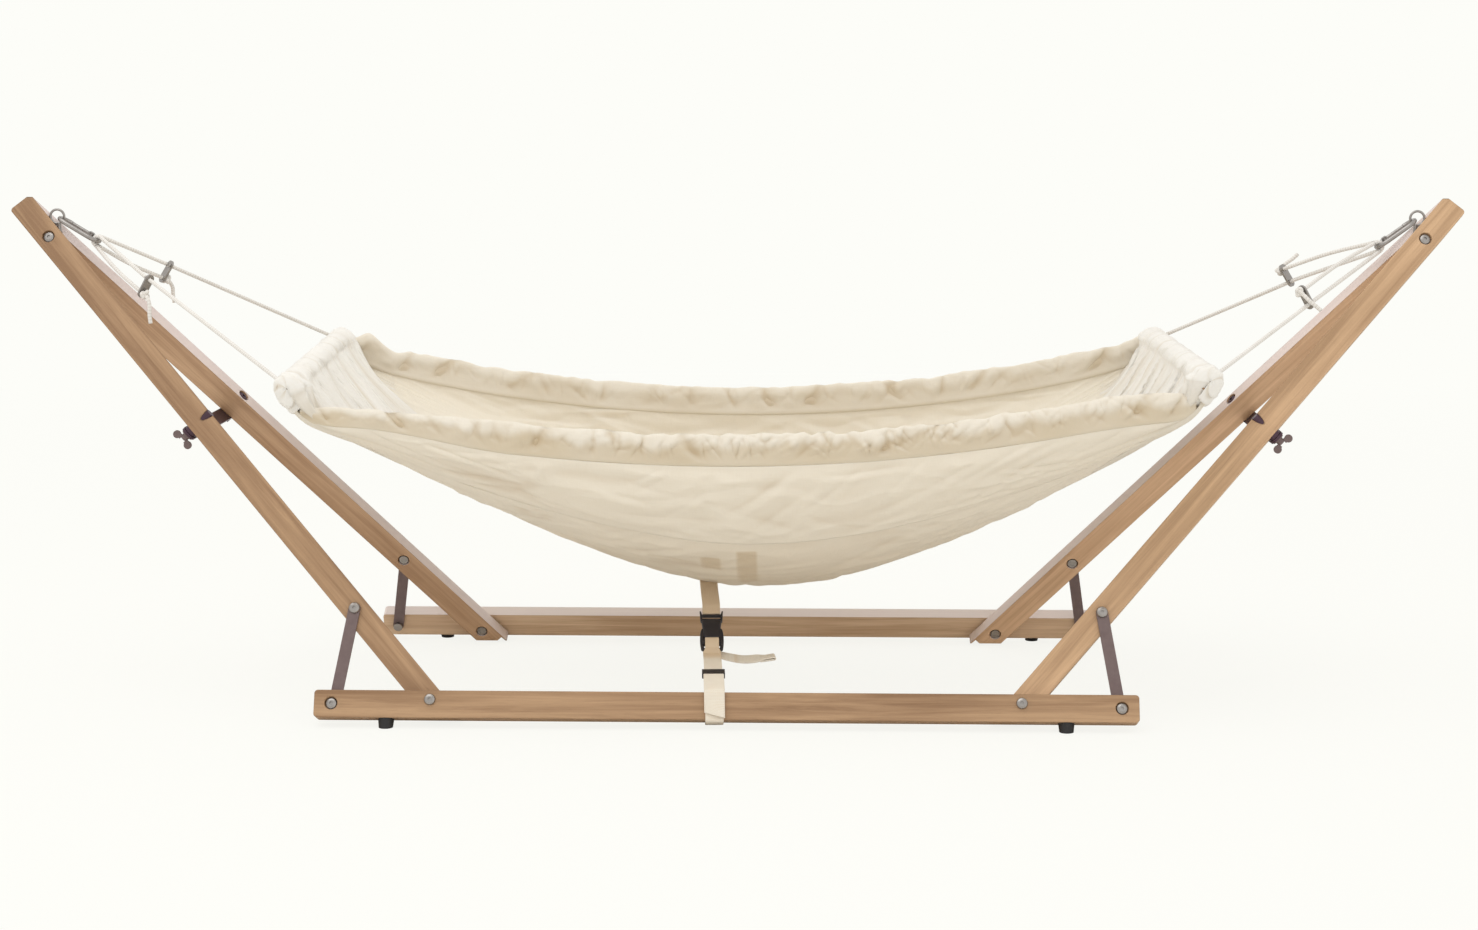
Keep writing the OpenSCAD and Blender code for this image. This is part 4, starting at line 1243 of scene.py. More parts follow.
@dataclass
class Sleeve:
    """Gathered cloth tube round one spreader bar, with a frilled knob of cloth at each end."""

    end: End
    material: bpy.types.Material

    def floor_point(self, v: Array, gap: float) -> Array:
        """Point of the bag's floor that the apron of the sleeve runs down to.

        Args:
            v: distance behind the middle, in mm.
            gap: distance from the bar, in mm.

        Returns:
            Points, in mm.
        """
        t = np.full(v.shape, self.end.value * (1 - gap / FORM.half))
        y = np.clip(0.9 * v, -222, 224)
        share = (np.abs(y) / (FORM.hem_out(t) - 2)) ** (1 / FORM.section_power)
        angle = np.sign(y) * (90 - np.degrees(np.arccos(np.clip(share, 0, 1))))
        return FORM.bag(t, angle, 1.0)

    def build(self) -> bpy.types.Object:
        """Makes the sleeve: an apron from the floor, over the bar in slanted pleats and back under it.

        Returns:
            The sleeve.
        """
        rows, apron, roll = 400, 40, 64
        reach, first, swept = 251.0, math.radians(4), math.radians(300)
        v = np.linspace(-reach, reach, rows)
        vv = v[:, None]
        turn = first + np.linspace(0, swept, roll)[None, :]
        inner = -self.end.value
        seed = 71 if self.end is End.LEFT else 91
        drift = 7.0 * noise(vv / 30.0, turn * 1.2, seed)
        slant = vv + 15 * np.sin(turn + 0.7) + drift
        rings = 0.65 * pleats(slant, 43, 24.0) + 0.45 * pleats(slant + 5, 40, 10.0)
        fine = noise(slant / 3.5, turn * 2.2, seed + 6)
        knob = bell(vv, -(reach - 20), 19) + 0.6 * bell(vv, reach - 17, 14)
        radial = np.sin(turn * 8 + 2.6 * noise(vv / 18.0, turn, seed + 8)) * knob
        slack = smooth(np.cos(turn + 0.7), -0.35, 0.8)
        radius = 12.3 + 1.7 * (rings + 1) + slack * (0.9 + 1.8 * rings) + 0.6 * fine * (0.4 + slack)
        radius = radius + (2.4 * knob + 1.2 * radial) * (0.35 + slack)
        lower = np.clip(np.cos(turn + 0.95), 0, 1) ** 2
        hanging = 13.0 * bell(vv, -(reach - 28), 17) + 7.0 * bell(vv, reach - 26, 20)
        radius = radius + hanging * lower
        close = np.sqrt(np.clip(1 - smooth(np.abs(vv), reach - 8, reach) ** 2, 0.002, 1))
        radius = np.maximum(radius * close, 0.6)
        axis = bar_point(self.end, v)[:, None]
        around = axis + np.stack([radius * np.cos(turn) * inner, 0 * radius, radius * np.sin(turn)], axis=-1)

        top = around[:, :1]
        gap = 112.0 - 46.0 * smooth(np.abs(v), 175, 246)
        foot = self.floor_point(v, gap)[:, None]
        slope = unit(self.floor_point(v, gap + 20.0) - self.floor_point(v, gap))[:, None]
        lean = np.array([math.sin(first) * inner, 0.0, -math.cos(first)])
        s = np.linspace(0, 1, apron, endpoint=False)[None, :, None]
        sheet = foot * (1 - s) ** 3 + 3 * (foot - 30 * slope) * s * (1 - s) ** 2
        sheet = sheet + 3 * (top + 14 * lean) * s**2 * (1 - s) + top * s**3
        share = s[..., 0]
        bend = slant[:, :1] + 26 * (1 - share) + 5 * noise(vv / 40.0, share * 3, seed + 14)
        fan = 0.8 * pleats(bend, 43, 24.0) + 0.12 * pleats(bend + 5, 40, 10.0)
        fan = fan + 0.8 * noise(bend / 17.0, share * 2, seed + 13)
        fan = (0.4 + 4.6 * share**0.7) * (1 - share**5) * smooth(share, 0, 0.25) * fan
        sheet = sheet + normals(sheet) * fan[..., None]

        points = np.concatenate([sheet, around], axis=1)
        depth = np.concatenate([fan / 3.0, rings + 0 * turn], axis=1)
        # Painted shade: a light wash over the whole roll and apron, deeper in the pleat valleys.
        fold = np.clip(0.2 - depth * np.concatenate([0.45 + 0 * share, 0.75 + 0 * turn], axis=1), 0, 0.8)
        # Tan share: the apron's foot takes on the bag cloth's colour, and painted shadow fills the puckered
        # opening at the front end.
        foot_tone_and_end_shadow = 0.35 * (1 - share) + 0.3 * smooth(-vv, 205, 240) * (1 - share**3)
        tint = np.concatenate([foot_tone_and_end_shadow, 0 * rings], axis=1)
        if inner < 0:
            points, fold, tint = points[::-1], fold[::-1], tint[::-1]
        wide, least = SLEEVE_FLAT
        across = np.linspace(0, wide, apron + roll)
        grids = {"tint": tint, "fold": fold, "seam": 0 * fold}
        obj = grid_mesh(
            f"{self.end.name.lower()}_sleeve_gathers", points, v * MM * 1.5, across, attributes=grids
        )
        thicken(obj, 1.0)
        paint(obj, self.material)
        return obj


# ---- Ropes ----


ROPE_REACH = 238.0  # from the middle of a bar to its rope, in mm
EYE = (778.03, 540.47)  # of a stand's end: distance from the middle, and height, in mm
HOOK_REACH = 54.9  # from the eye to the wire that the rope turns round
HOOK_WIRE = 2.5  # radius
KNOT_SIZE = 1.45  # of the trefoil's unit
SHORTEST_TAIL = 31.5  # free end of a rope
PLATE_HOLES = 17.0  # from the rope's hole in an adjuster to the knot's
KNOT_GAP = 5.6  # from the adjuster's middle plane to the knot's middle, past the plate


@dataclass(frozen=True)
class RopeRun:
    """One of the four ropes: bar end, adjuster plate, hook, and back to a knot at the plate."""

    name: str
    end: End
    side: Side
    inwards: float
    sideways: float
    down: float
    return_side: int
    tail: tuple[tuple[float, float, float], ...]
    radius: float = 2.25

    @property
    def eye(self) -> Array:
        """Centre of the eye that this rope's hook hangs from.

        Returns:
            The point, in mm.
        """
        return np.array([self.end.value * EYE[0], 0.0, EYE[1]])

    @property
    def bar(self) -> Array:
        """Point of the spreader bar that the rope passes through.

        Returns:
            The point, in mm.
        """
        return bar_point(self.end, self.side.value * ROPE_REACH)

    @property
    def plate(self) -> Array:
        """Point of the adjuster that the main rope passes through.

        Returns:
            The point, in mm.
        """
        return self.eye + np.array([-self.end.value * self.inwards, self.sideways, -self.down])

    @property
    def heading(self) -> Array:
        """Direction of the main rope, from the bar to the adjuster.

        Returns:
            A vector of length 1.
        """
        return unit(self.plate - self.bar)

    def turn(self) -> Array:
        """Half turn of the rope round the hook's wire.

        Returns:
            Five points, from the main rope to the return, in mm.
        """
        droop = math.radians(31 if self.end is End.LEFT else 36)
        along = np.array([-self.end.value * math.cos(droop), 0, -math.sin(droop)])
        up = unit(np.cross(along, [0, -self.end.value, 0]))
        middle = self.eye + HOOK_REACH * along + np.array([0, self.side.value * 3.15, 0])
        steps = np.radians(np.arange(0, 181, 45))
        r = HOOK_WIRE + self.radius + 0.8
        return np.array(
            [middle + r * (-self.return_side * math.cos(a) * up - math.sin(a) * along) for a in steps]
        )

    def plate_up(self) -> Array:
        """Direction across the adjuster, from the main rope's hole to the knot's.

        Returns:
            A vector of length 1.
        """
        across = unit(np.cross(self.heading, [0, 1, 0]))
        return self.return_side * (across if across[2] > 0 else -across)

    def knot(self) -> Array:
        """Middle of the stopper knot.

        Returns:
            The point, in mm.
        """
        hole = self.plate - 5 * self.heading + PLATE_HOLES * self.plate_up()
        return hole - KNOT_GAP * self.heading

    def build(self, material: bpy.types.Material) -> dict[str, bpy.types.Object]:
        """Makes the main rope, the return, the knot and the free tail.

        Args:
            material: rope material.

        Returns:
            The pieces by name.
        """
        turn = self.turn()
        start = self.bar - 8 * self.heading
        route = [start] + [self.plate - d * self.heading for d in (60, 25, 0, -6)] + [turn[0]]
        main = np.vstack([spline(route, 4.0)[:-1], spline(turn, 1.2)])
        rope = tube(f"{self.name}_rope", main, self.radius)
        mouth = self.knot() + 8.3 * self.heading
        last, middle = turn[-1], (turn[-1] + mouth) / 2 + 2.5 * self.plate_up()
        begin = last + 1.4 * unit(middle - last)
        back = spline([begin, middle, mouth, self.knot()], 2.5)
        strand = tube(f"{self.name}_return_strand", back, self.radius)
        longer = max(1.03, SHORTEST_TAIL * MM / path_length(spline(self.tail, 1.0)))
        free = spline([self.knot() + longer * np.array(p) for p in self.tail], 1.5)
        loose = tube(f"{self.name}_tail", free, self.radius)
        knot = self.knot_shape()
        for piece in (rope, strand, loose, knot):
            paint(piece, material)
        return {"rope": rope, "strand": strand, "tail": loose, "knot": knot, "from": begin, "to": mouth}

    def knot_shape(self) -> bpy.types.Object:
        """Makes the stopper knot as a trefoil of rope pulled tight.

        Returns:
            The knot.
        """
        s = np.linspace(0, 2 * math.pi, 90)
        turns = (np.sin(s) + 2 * np.sin(2 * s), np.cos(s) - 2 * np.cos(2 * s), -1.1 * np.sin(3 * s))
        local = np.stack(turns, axis=1) * KNOT_SIZE
        x = self.heading
        y = unit(np.cross(x, [0.3, 0.4, 1.0]))
        line = self.knot() + local @ np.array([y, np.cross(x, y), x])
        return tube(f"{self.name}_stopper_knot", line, self.radius * 0.98)


# ---- Tether ----


TETHER_TURN = math.radians(3.6)  # of the whole tether, seen from above
TETHER_PLACE = (-12.0, -234.14)
RAIL_FOOT = (-252.14, 12.0)  # lower front edge of the front rail: depth and height
RAIL_LEAN = math.radians(22.5)
RAIL_HIGH, RAIL_DEEP = 30.0, 19.0
BUCKLE_PLACE = (108.0, 74.0)
BUCKLE_TILT = math.radians(41)
LOCK_TILT = math.radians(12)
LOCK_BAR = np.array([0, 33.0, 51.5])
WRAP = 1.65  # from the rail's face to the middle of the webbing round it


@dataclass
class Tether:
    """Webbing tether from the belly to the front rail, with a side-release buckle and a ladder lock."""

    webbing: bpy.types.Material
    half_width: float = 10.0

    def place(self, points: Array) -> Array:
        """Moves points from the tether's frame to the row frame.

        Args:
            points: x across the webbing, y from the rail to the cradle, z up, in mm.

        Returns:
            Points in the row frame, in mm.
        """
        cos, sin = math.cos(TETHER_TURN), math.sin(TETHER_TURN)
        x, y, z = np.moveaxis(np.asarray(points, float), -1, 0)
        return np.stack(
            [x * cos - y * sin + TETHER_PLACE[0], x * sin + y * cos + TETHER_PLACE[1], z], axis=-1
        )

    def buckle_point(self, x: float, d: float, h: float = 0.0) -> Array:
        """Point of the buckle in the tether's frame.

        Args:
            x: distance across.
            d: distance up the buckle from its release end.
            h: distance out of its face.

        Returns:
            The point, in mm.
        """
        cos, sin = math.cos(BUCKLE_TILT), math.sin(BUCKLE_TILT)
        return np.array([x, BUCKLE_PLACE[0] + d * cos - h * sin, BUCKLE_PLACE[1] + d * sin + h * cos])

    def rail_point(self, w: float, v: float) -> Array:
        """Point of the rail's section in the tether's frame.

        Args:
            w: depth from the rail's outer face.
            v: height up the rail's face.

        Returns:
            The point, in mm.
        """
        cos, sin = math.cos(RAIL_LEAN), math.sin(RAIL_LEAN)
        y = RAIL_FOOT[0] + v * sin + w * cos - TETHER_PLACE[1]
        return np.array([0.0, y, RAIL_FOOT[1] + v * cos - w * sin])

    def strip(
        self,
        name: str,
        route: Sequence[Array],
        half: float | Callable[[Array], Array],
        thickness: float = 1.8,
        twist: Callable[[Array], Array] | None = None,
        across: Array | None = None,
        tint: Callable[[Array], Array] | None = None,
        slant: float = 0.0,
    ) -> bpy.types.Object:
        """Makes a flat strip of webbing with rounded edges along a route.

        Args:
            name: object name.
            route: points of its middle, in the tether's frame.
            half: half its width in mm, or that for the share of the length passed.
            thickness: its thickness, in mm.
            twist: degrees of twist for the share of the length passed.
            across: direction across the webbing; x by default.
            tint: share of tan for the share of the length passed.
            slant: slope of the cut at its far end.

        Returns:
            The strip.
        """
        line = spline(route, 1.0)
        share = np.linspace(0, 1, len(line))
        heading = unit(np.gradient(line, axis=0))
        wide = np.broadcast_to(np.array([1.0, 0, 0]) if across is None else across, line.shape)
        wide = unit(wide - heading * (wide * heading).sum(1, keepdims=True))
        face = np.cross(heading, wide)
        if twist is not None:
            a = np.radians(twist(share))[:, None]
            wide, face = wide * np.cos(a) + face * np.sin(a), face * np.cos(a) - wide * np.sin(a)
        corner = np.array([-1, -0.97, -0.9, -0.6, -0.2, 0.2, 0.6, 0.9, 0.97, 1])
        flat = np.concatenate([corner, corner[::-1]])
        lift = np.sqrt(np.clip(1 - (np.abs(corner) - 0.9).clip(0) ** 2 / 0.01, 0.05, 1)) * thickness / 2
        lift = np.concatenate([lift, -lift])
        halves = np.broadcast_to(half(share) if callable(half) else half, share.shape)[:, None]
        out, lifted = wide[:, None] * (flat * halves)[..., None], face[:, None] * lift[None, :, None]
        points = line[:, None] + out + lifted
        cut = slant * halves * flat * smooth(share, 0.7, 1)[:, None]
        points = points + heading[:, None] * cut[..., None]
        full = float(halves.max()) * MM
        v = np.concatenate([(corner + 1) * full, 2 * full + (corner + 1) * full, [4 * full]])
        shade = np.broadcast_to(
            (tint(share) if tint else 0.15 * np.ones(len(line)))[:, None], points.shape[:2]
        )
        shape = (self.place(points), distances(line) * MM, v)
        obj = grid_mesh(name, *shape, wrap=True, caps=True, attributes={"tint": shade})
        paint(obj, self.webbing)
        return obj

    def build(self) -> dict[str, bpy.types.Object]:
        """Makes the upper strap, the rail strap, its short end at the buckle, the flap and the tail.

        Returns:
            The pieces by name.
        """
        upper = self.strip(
            "upper_strap",
            [
                *(self.buckle_point(0, d) for d in (36.3, 44, 52)),
                (-1.2, 166, 118),
                (-1.9, 184, 126),
                (-2, 196, 125.4),
            ],
            self.half_width,
            tint=lambda s: 0.75 - 0.15 * s,
        )
        along = np.array([0, math.cos(LOCK_TILT), math.sin(LOCK_TILT)])
        up = np.array([0, -along[2], along[1]])
        r = WRAP

        def slot(d: float, h: float) -> Array:
            """Point near the ladder lock's bar.

            Args:
                d: distance up the tether.
                h: distance out of its face.

            Returns:
                The point, in the tether's frame.
            """
            return LOCK_BAR + d * along + h * up

        def bend(w: float, v: float, first: float) -> list[Array]:
            """Quarter turn round an edge of the rail.

            Args:
                w: depth of the edge.
                v: height of the edge.
                first: direction in which the turn starts, in degrees.

            Returns:
                Three points, in the tether's frame.
            """
            turns = np.radians([first + 12, first + 45, first + 78])
            return [self.rail_point(w + r * math.cos(a), v + r * math.sin(a)) for a in turns]

        route = [slot(6, 1.15), slot(-8, 1.15), (slot(-8, 1.15) + self.rail_point(0, RAIL_HIGH + 1.7)) / 2]
        route += bend(0, RAIL_HIGH, 90) + [self.rail_point(-r, v) for v in (25, 15, 5)] + bend(0, 0, 180)
        route += [self.rail_point(w, -r) for w in (5, 14)] + bend(RAIL_DEEP, 0, 270)
        route += [self.rail_point(RAIL_DEEP + r, v) for v in (6, 16, 25)]
        route += [slot(-9, -1.15), slot(8, -1.15), slot(22, -1.0), self.buckle_point(0, -19)]
        lower = self.strip(
            "rail_webbing", route, self.half_width, tint=lambda s: 0.12 + 0.6 * smooth(s, 0.9, 0.97)
        )
        loop = ((-19, 0), (-16, 2.2), (-12, 5.2), (-5, 5.9), (-1.5, 5.6))
        end = self.strip(
            "prong_webbing",
            [self.buckle_point(0, d, h) for d, h in loop],
            lambda s: self.half_width - 2.2 * smooth(s, 0.05, 0.35),
            tint=lambda s: 0.72 + 0 * s,
        )
        hang = r + 1.9
        down = ((-1.4, 33.6), (-hang, 30), (-hang, 20), (-hang - 0.4, 8), (-hang - 0.8, 4))
        flap_route = [slot(-9, 3.2), (slot(-9, 3.2) + self.rail_point(-0.5, 34.5)) / 2]
        flap_route += [self.rail_point(w, v) for w, v in down]
        flap = self.strip(
            "strap_flap",
            flap_route,
            self.half_width + 1.2,
            2.2,
            twist=lambda s: 2.5 * s,
            tint=lambda s: 0.05 + 0 * s,
            slant=0.3,
        )
        at = self.buckle_point(0, -12) + np.array([0, 0, -5.6])
        tip = [(-10, 0, 0), (4, 0.1, -0.6), (17, 0.7, -4.2), (35, 1.2, -7.4), (52, 1.0, -6.2)]
        tip += [(68, 0.4, -3.6), (70, 0.4, -4.6), (68, 0.4, -6.0), (54, 0.8, -8.0)]
        tail = self.strip(
            "webbing_tail",
            [at + np.array(p) for p in tip],
            9.0,
            twist=lambda s: (
                4 - 19 * bell(s, 0.08, 0.1) - 14 * smooth(s, 0.6, 0.72)
            ) * (1 - 2 * smooth(s, 0.815, 0.855)),
            across=along,
            tint=lambda s: 0.8 * bell(s, 0.1, 0.1) + 0.35 * bell(s, 0.38, 0.03) + 0.03,
        )
        return {"upper": upper, "lower": lower, "end": end, "flap": flap, "tail": tail}

    def moulded(self, name: str, bars: Sequence[Sequence[Station]]) -> bpy.types.Object:
        """Makes a moulded part of the buckle from bars with rounded rectangular sections.

        Args:
            name: object name.
            bars: stations of each bar: x, distance up the buckle, half width, half thickness.

        Returns:
            The part.
        """
        turn = np.linspace(0, 2 * math.pi, 24, endpoint=False)
        cos, sin = np.cos(turn), np.sin(turn)
        corner_x, corner_z = np.sign(cos) * np.abs(cos) ** 0.4, np.sign(sin) * np.abs(sin) ** 0.4
        parts = []
        for index, stations in enumerate(bars):
            table = spline(stations, 0.6)
            heading = unit(np.gradient(table[:, :2], axis=0))
            side = np.stack([heading[:, 1], -heading[:, 0]], axis=-1)
            ends = smooth(np.minimum(np.arange(len(table)), np.arange(len(table))[::-1]), -1, 3)[:, None]
            full = 0.7 + 0.3 * ends
            flat = table[:, None, :2] + side[:, None] * (table[:, 2:3] * full * corner_x)[..., None]
            high = table[:, 3:4] * full * corner_z
            origin, x, d, h = (self.buckle_point(*p) for p in ((0, 0), (1, 0), (0, 1), (0, 0, 1)))
            points = origin + flat[..., :1] * (x - origin) + flat[..., 1:] * (d - origin)
            points = points + high[..., None] * (h - origin)
            shape = (self.place(points), np.arange(len(table)) * MM, np.linspace(0, 1, len(turn) + 1))
            parts.append(grid_mesh(f"{name}_{index}", *shape, wrap=True, caps=True))
        return join(name, parts)

    def build_buckle(self) -> tuple[bpy.types.Object, bpy.types.Object]:
        """Makes the buckle's socket, with its horns and cross bars, and the prongs' arms with their bar.

        Returns:
            The socket and the prongs.
        """

        def cross(reach: float, d: float, half: float, thick: float) -> list[Station]:
            """Straight bar across the buckle.

            Args:
                reach: half its length.
                d: distance up the buckle.
                half: half its width.
                thick: half its thickness.

            Returns:
                Its stations.
            """
            return [(x, d, half, thick) for x in (-reach, 0, reach)]

        body = ((0.5, 9.4, 4.2), (8, 9.6, 4.5), (14, 10.0, 4.5), (20, 10.8, 4.5), (26.5, 11.4, 4.2))
        socket = [[(0, *station) for station in body]]
        socket += [cross(11.6, 27.4, 1.3, 2.6), cross(11.6, 33.6, 1.3, 2.2)]
        horn = ((11.0, 25, 1.4, 2.5), (11.4, 30, 1.3, 2.5), (11.9, 36, 1.1, 2.2), (12.6, 40, 0.8, 1.6))
        socket += [[(s * x, *rest) for x, *rest in horn] for s in (-1, 1)]
        arm = (
            (10.6, -14.6, 1.6, 2.2),
            (11.0, -6, 2.2, 2.4),
            (11.1, 3, 2.2, 2.4),
            (10.6, 11, 1.8, 2.2),
            (9.4, 15, 1.2, 2.0),
        )
        prongs = [[(s * x, *rest) for x, *rest in arm] for s in (-1, 1)]
        prongs += [cross(11, -13.9, 1.4, 2.4), cross(11, -4.6, 3.0, 3.2)]
        prongs += [[(0, -3, 2.0, 1.9), (0, 6, 1.9, 1.9), (0, 13, 1.5, 1.5)]]
        return self.moulded("buckle_socket", socket), self.moulded("buckle_arms", prongs)


# ---- The frame's own parts ----


# The pale colours are painted sheen for faces that look up.
WOOD = WoodFinish(light="#b4926f", dark="#8a694a", pale="#ddd3d2")
REAR_WOOD = WoodFinish(light="#c9a684", dark="#a07c5c", pale="#ddd3d2", roughness=0.55)
REAR_RAIL_WOOD = WoodFinish(light="#dcbf9f", dark="#b39272", pale="#e4dbd9", roughness=0.55)
OWN_WOOD = {
    "rear_rail": REAR_RAIL_WOOD,
    "front_right_upright": WoodFinish(light="#cfab85", dark="#a68462", pale="#ddd3d2"),
    "rear_right_upright": WoodFinish(light="#dab591", dark="#b48e6b", pale="#ddd3d2", roughness=0.55),
}
STRUT_STEEL = MetalFinish("#7c6c6a", "#685857", 0.5, 0.45)
STAY_STEEL = MetalFinish("#5a4650", "#47363f", 0.4, 0.8)
BRIGHT_STEEL = MetalFinish("#aca8a4", "#8f8b87", 0.34)
RUBBER = MouldedFinish("#1c1b1b", "#33302f", 0.62)
ACETAL = MouldedFinish("#1d1a1f", "#353138", 0.42)
# tan also colours the painted shade in creases and below the hems' puffed edges; shade also colours the
# painted shadow line at each hem's foot.
COTTON = ClothFinish("#f6f0e4", "#d6c29d", "#e6dcc8")
BAG_COTTON = ClothFinish("#f4eee1", "#cdb794", "#e4dac6")
GATHER_COTTON = ClothFinish("#faf8f3", "#d9cbb0", "#ece5d8", glow=0.2, crumple=0.8)
# Second colour: painted shade in the braid's grooves.
BRAID = RopeFinish("#e9e6e1", "#beb8ae", 7.0)
# dark also colours the painted shade in the rib grooves.
WEBBING = WebbingFinish("#e8e2d5", "#d0b48f")

GRAIN: dict[str, Triple] = {
    **{f"{side.name.lower()}_rail": (1, 0, 0) for side in Side},
    **{f"{end.name.lower()}_spreader_bar": (0, 1, 0) for end in End},
    **{
        f"{side.name.lower()}_{end.name.lower()}_upright": (end.value * 0.6534, -side.value * 0.2897, 0.6994)
        for side in Side
        for end in End
    },
}
METAL_WORDS = {
    "struts": "strut",
    "stay": "stay",
    "wing_screw": "strut",
    "feet": "rubber",
    "spacers": "rubber",
    "buckle": "acetal",
    "lock": "acetal",
}


def finish_frame(nodes: dict[str, bpy.types.Object]) -> None:
    """Gives every part of the frame its material.

    Args:
        nodes: the frame's parts by name.
    """
    metals = {
        "strut": STRUT_STEEL.build("strut steel"),
        "stay": STAY_STEEL.build("stay steel"),
        "bright": BRIGHT_STEEL.build("zinc plated steel"),
        "rubber": RUBBER.build("black rubber"),
        "acetal": ACETAL.build("black acetal"),
    }
    for place, (name, node) in enumerate(nodes.items()):
        if name in GRAIN:
            finish = OWN_WOOD.get(name, REAR_WOOD if name.startswith("rear") else WOOD)
            paint(node, finish.build(f"oiled beech {name}", GRAIN[name], 0.37 * place))
            continue
        kind = next((metals[use] for word, use in METAL_WORDS.items() if word in name), metals["bright"])
        paint(node, kind)


# ---- Floor, light and camera ----


SKY = (1, 0.985, 0.96, 1)
BACKDROP = (0.982, 0.982, 0.94, 1.0)
FLOOR = (0.86, 0.85, 0.82, 1)
LAMPS: dict[str, tuple[Triple, Triple, float, float]] = {  # place, aim, size and power
    "window": ((-0.9, -0.9, 3.2), (0.0, 0.0, 0.3), 2.8, 34.0),
    "fill": ((2.0, -3.2, 1.4), (0.1, 0.0, 0.2), 2.4, 6.0),
}
CAMERA_PLACE = (0.10184, -3.10213, 0.68369)
CAMERA_DOWN, CAMERA_LEFT = math.radians(7.872), math.radians(1.736)
FOCAL_LENGTH = 65.9


def make_stage() -> None:
    """Sets the pale background, a floor that keeps the shadow, two soft lamps and the camera."""
    scene = bpy.context.scene
    scene.view_settings.view_transform = "Standard"
    scene.view_settings.look = "None"
    world = bpy.data.worlds.new("room")
    scene.world = world
    world.use_nodes = True
    world.node_tree.nodes.clear()
    graph = Graph(world.node_tree)
    path = graph.add("LightPath")
    seen = graph.math("MAXIMUM", path.outputs["Is Camera Ray"], path.outputs["Is Transmission Ray"])
    light = graph.add("Background", {"Color": SKY, "Strength": 0.98})
    wall = graph.add("Background", {"Color": BACKDROP, "Strength": 1.0})
    mixed = graph.add("MixShader", {0: seen, 1: light.outputs[0], 2: wall.outputs[0]})
    graph.add("OutputWorld", {0: mixed.outputs[0]})

    bpy.ops.mesh.primitive_grid_add(x_subdivisions=24, y_subdivisions=24, size=90)
    floor = bpy.context.object
    floor.name = "floor"
    material, graph, shader = new_material("white floor")
    graph.tree.nodes.remove(shader)
    matt = graph.add("BsdfDiffuse", {"Color": FLOOR})
    glow = graph.add("Emission", {"Color": BACKDROP, "Strength": 1.0})
    far = graph.add("VectorMath", {0: graph.coords()}, operation="LENGTH").outputs["Value"]
    share = graph.add("MapRange", {0: far, 1: 1.0, 2: 3.5, 3: 0.86, 4: 1.0}).outputs[0]
    share = graph.times(share, graph.add("LightPath").outputs["Is Camera Ray"])
    mixed = graph.add("MixShader", {0: share, 1: matt.outputs[0], 2: glow.outputs[0]})
    graph.feed(graph.find("OUTPUT_MATERIAL"), {"Surface": mixed.outputs[0]})
    paint(floor, material)

    for name, (place, aim, size, power) in LAMPS.items():
        lamp = bpy.data.lights.new(name, "AREA")
        lamp.size, lamp.energy = size, power
        obj = bpy.data.objects.new(name, lamp)
        scene.collection.objects.link(obj)
        obj.location = place
        obj.rotation_euler = (Vector(aim) - Vector(place)).to_track_quat("-Z", "Y").to_euler()

    lens = bpy.data.cameras.new("photo camera")
    lens.lens, lens.sensor_width, lens.sensor_fit = FOCAL_LENGTH, 36.0, "HORIZONTAL"
    camera = bpy.data.objects.new("photo camera", lens)
    camera.location = CAMERA_PLACE
    camera.rotation_euler = Euler((math.pi / 2 - CAMERA_DOWN, 0.0, CAMERA_LEFT))
    scene.collection.objects.link(camera)
    scene.camera = camera


# ---- Assembly ----


def build_cloth() -> None:
    """Makes the bag, its hems and the sleeves on the bars, and puts them in place of the plain parts."""
    plain = BAG_COTTON.build("unbleached cotton")
    soft = COTTON.build("gathered cotton")
    white = GATHER_COTTON.build("ruched cotton")
    low = FORM.side_share - 90
    panels = {
        "front_panel": BagPanel("front_cloth", low=-89.9, high=low, columns=60, seed=3, material=plain),
        "rear_panel": BagPanel("rear_cloth", low=-low, high=89.9, columns=60, seed=4, material=plain),
        "belly_panel": BagPanel("belly_cloth", low=low, high=-low, columns=170, seed=5, material=plain),
    }
    hems = {f"{side.name.lower()}_hem": Hem(side, soft) for side in Side}
    sleeves = {f"{end.name.lower()}_sleeve": Sleeve(end, white) for end in End}
    for node, form in (panels | hems | sleeves).items():
        piece = form.build()
        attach(piece, "cradle")
        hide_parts(node)


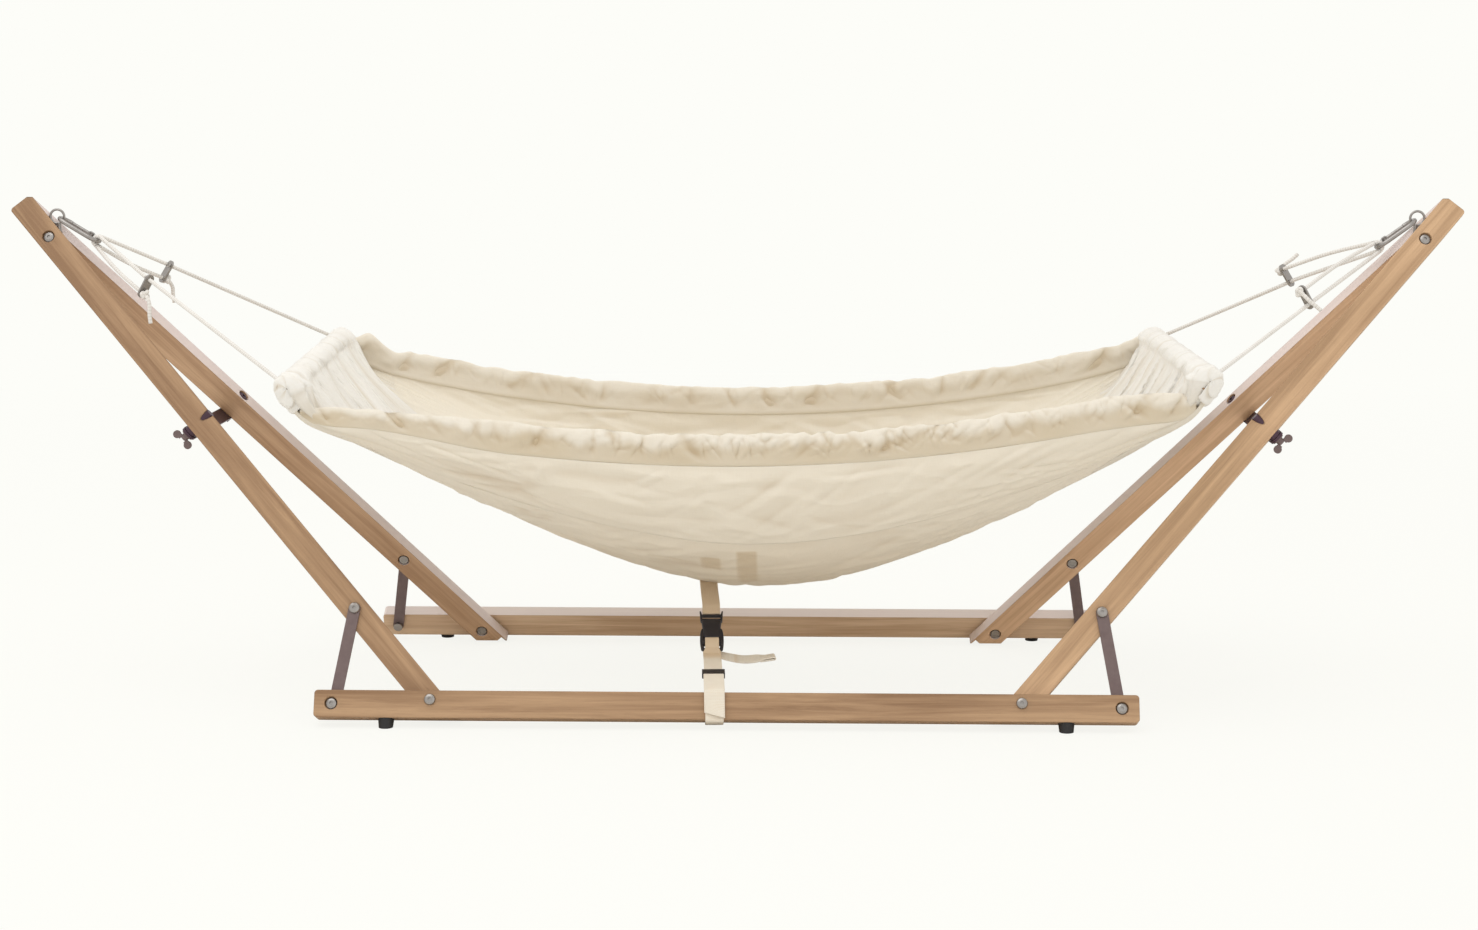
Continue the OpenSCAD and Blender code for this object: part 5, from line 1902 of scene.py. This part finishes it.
def build_ropes() -> None:
    """Makes the four ropes with their returns, knots and tails."""
    braid = BRAID.build("braided cotton cord")
    runs = (
        RopeRun(
            "front_left",
            End.LEFT,
            Side.FRONT,
            inwards=116,
            sideways=-57,
            down=66.5,
            return_side=-1,
            tail=((0, 0, 0), (4, -4, -4), (6, -6, -12), (6, -7, -22), (7, -7, -31)),
        ),
        RopeRun(
            "rear_left",
            End.LEFT,
            Side.REAR,
            inwards=110,
            sideways=62,
            down=58.5,
            return_side=-1,
            tail=((0, 0, 0), (3, 4, -4), (5, 7, -10), (5, 8, -18), (6, 9, -27)),
        ),
        RopeRun(
            "front_right",
            End.RIGHT,
            Side.FRONT,
            inwards=133,
            sideways=-92,
            down=88.5,
            return_side=1,
            tail=((0, 0, 0), (4, -4, -3), (9, -6, -8), (15, -7, -13), (21, -8, -18)),
        ),
        RopeRun(
            "rear_right",
            End.RIGHT,
            Side.REAR,
            inwards=123,
            sideways=84,
            down=76.5,
            return_side=1,
            tail=((0, 0, 0), (3, 4, 4), (8, 6, 8), (14, 7, 12), (20, 9, 17)),
        ),
    )
    for run_ in runs:
        made = run_.build(braid)
        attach(made["rope"], "cradle")
        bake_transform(made["strand"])
        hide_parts(f"{run_.name}_return")
        for piece in (made["tail"], made["knot"]):
            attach(piece, f"{run_.name}_adjuster")
        if run_ is runs[0]:
            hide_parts("ropes")


def build_tether() -> None:
    """Makes the webbing of the tether."""
    tether = Tether(WEBBING.build("cotton webbing"))
    made = tether.build()
    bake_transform(made["upper"])
    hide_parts("upper_tether")
    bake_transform(made["lower"])
    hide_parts("rail_strap")
    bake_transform(made["end"])
    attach(made["flap"], "front_frame")
    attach(made["tail"], "buckle_release")
    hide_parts("strap_tail")
    plastic = ACETAL.build("acetal of the buckle")
    bodies = (("buckle_body", "buckle"), ("buckle_prongs", "buckle_release"))
    for part, (node, body) in zip(tether.build_buckle(), bodies):
        paint(part, plastic)
        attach(part, body)
        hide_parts(node)


def main() -> None:
    """Builds the whole scene."""
    logging.basicConfig(level=logging.INFO, format="%(name)s: %(message)s")
    bpy.ops.object.select_all(action="SELECT")
    bpy.ops.object.delete()
    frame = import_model()
    finish_frame(frame["nodes"])
    build_cloth()
    build_ropes()
    build_tether()
    make_stage()
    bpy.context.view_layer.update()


if __name__ == "__main__":
    main()
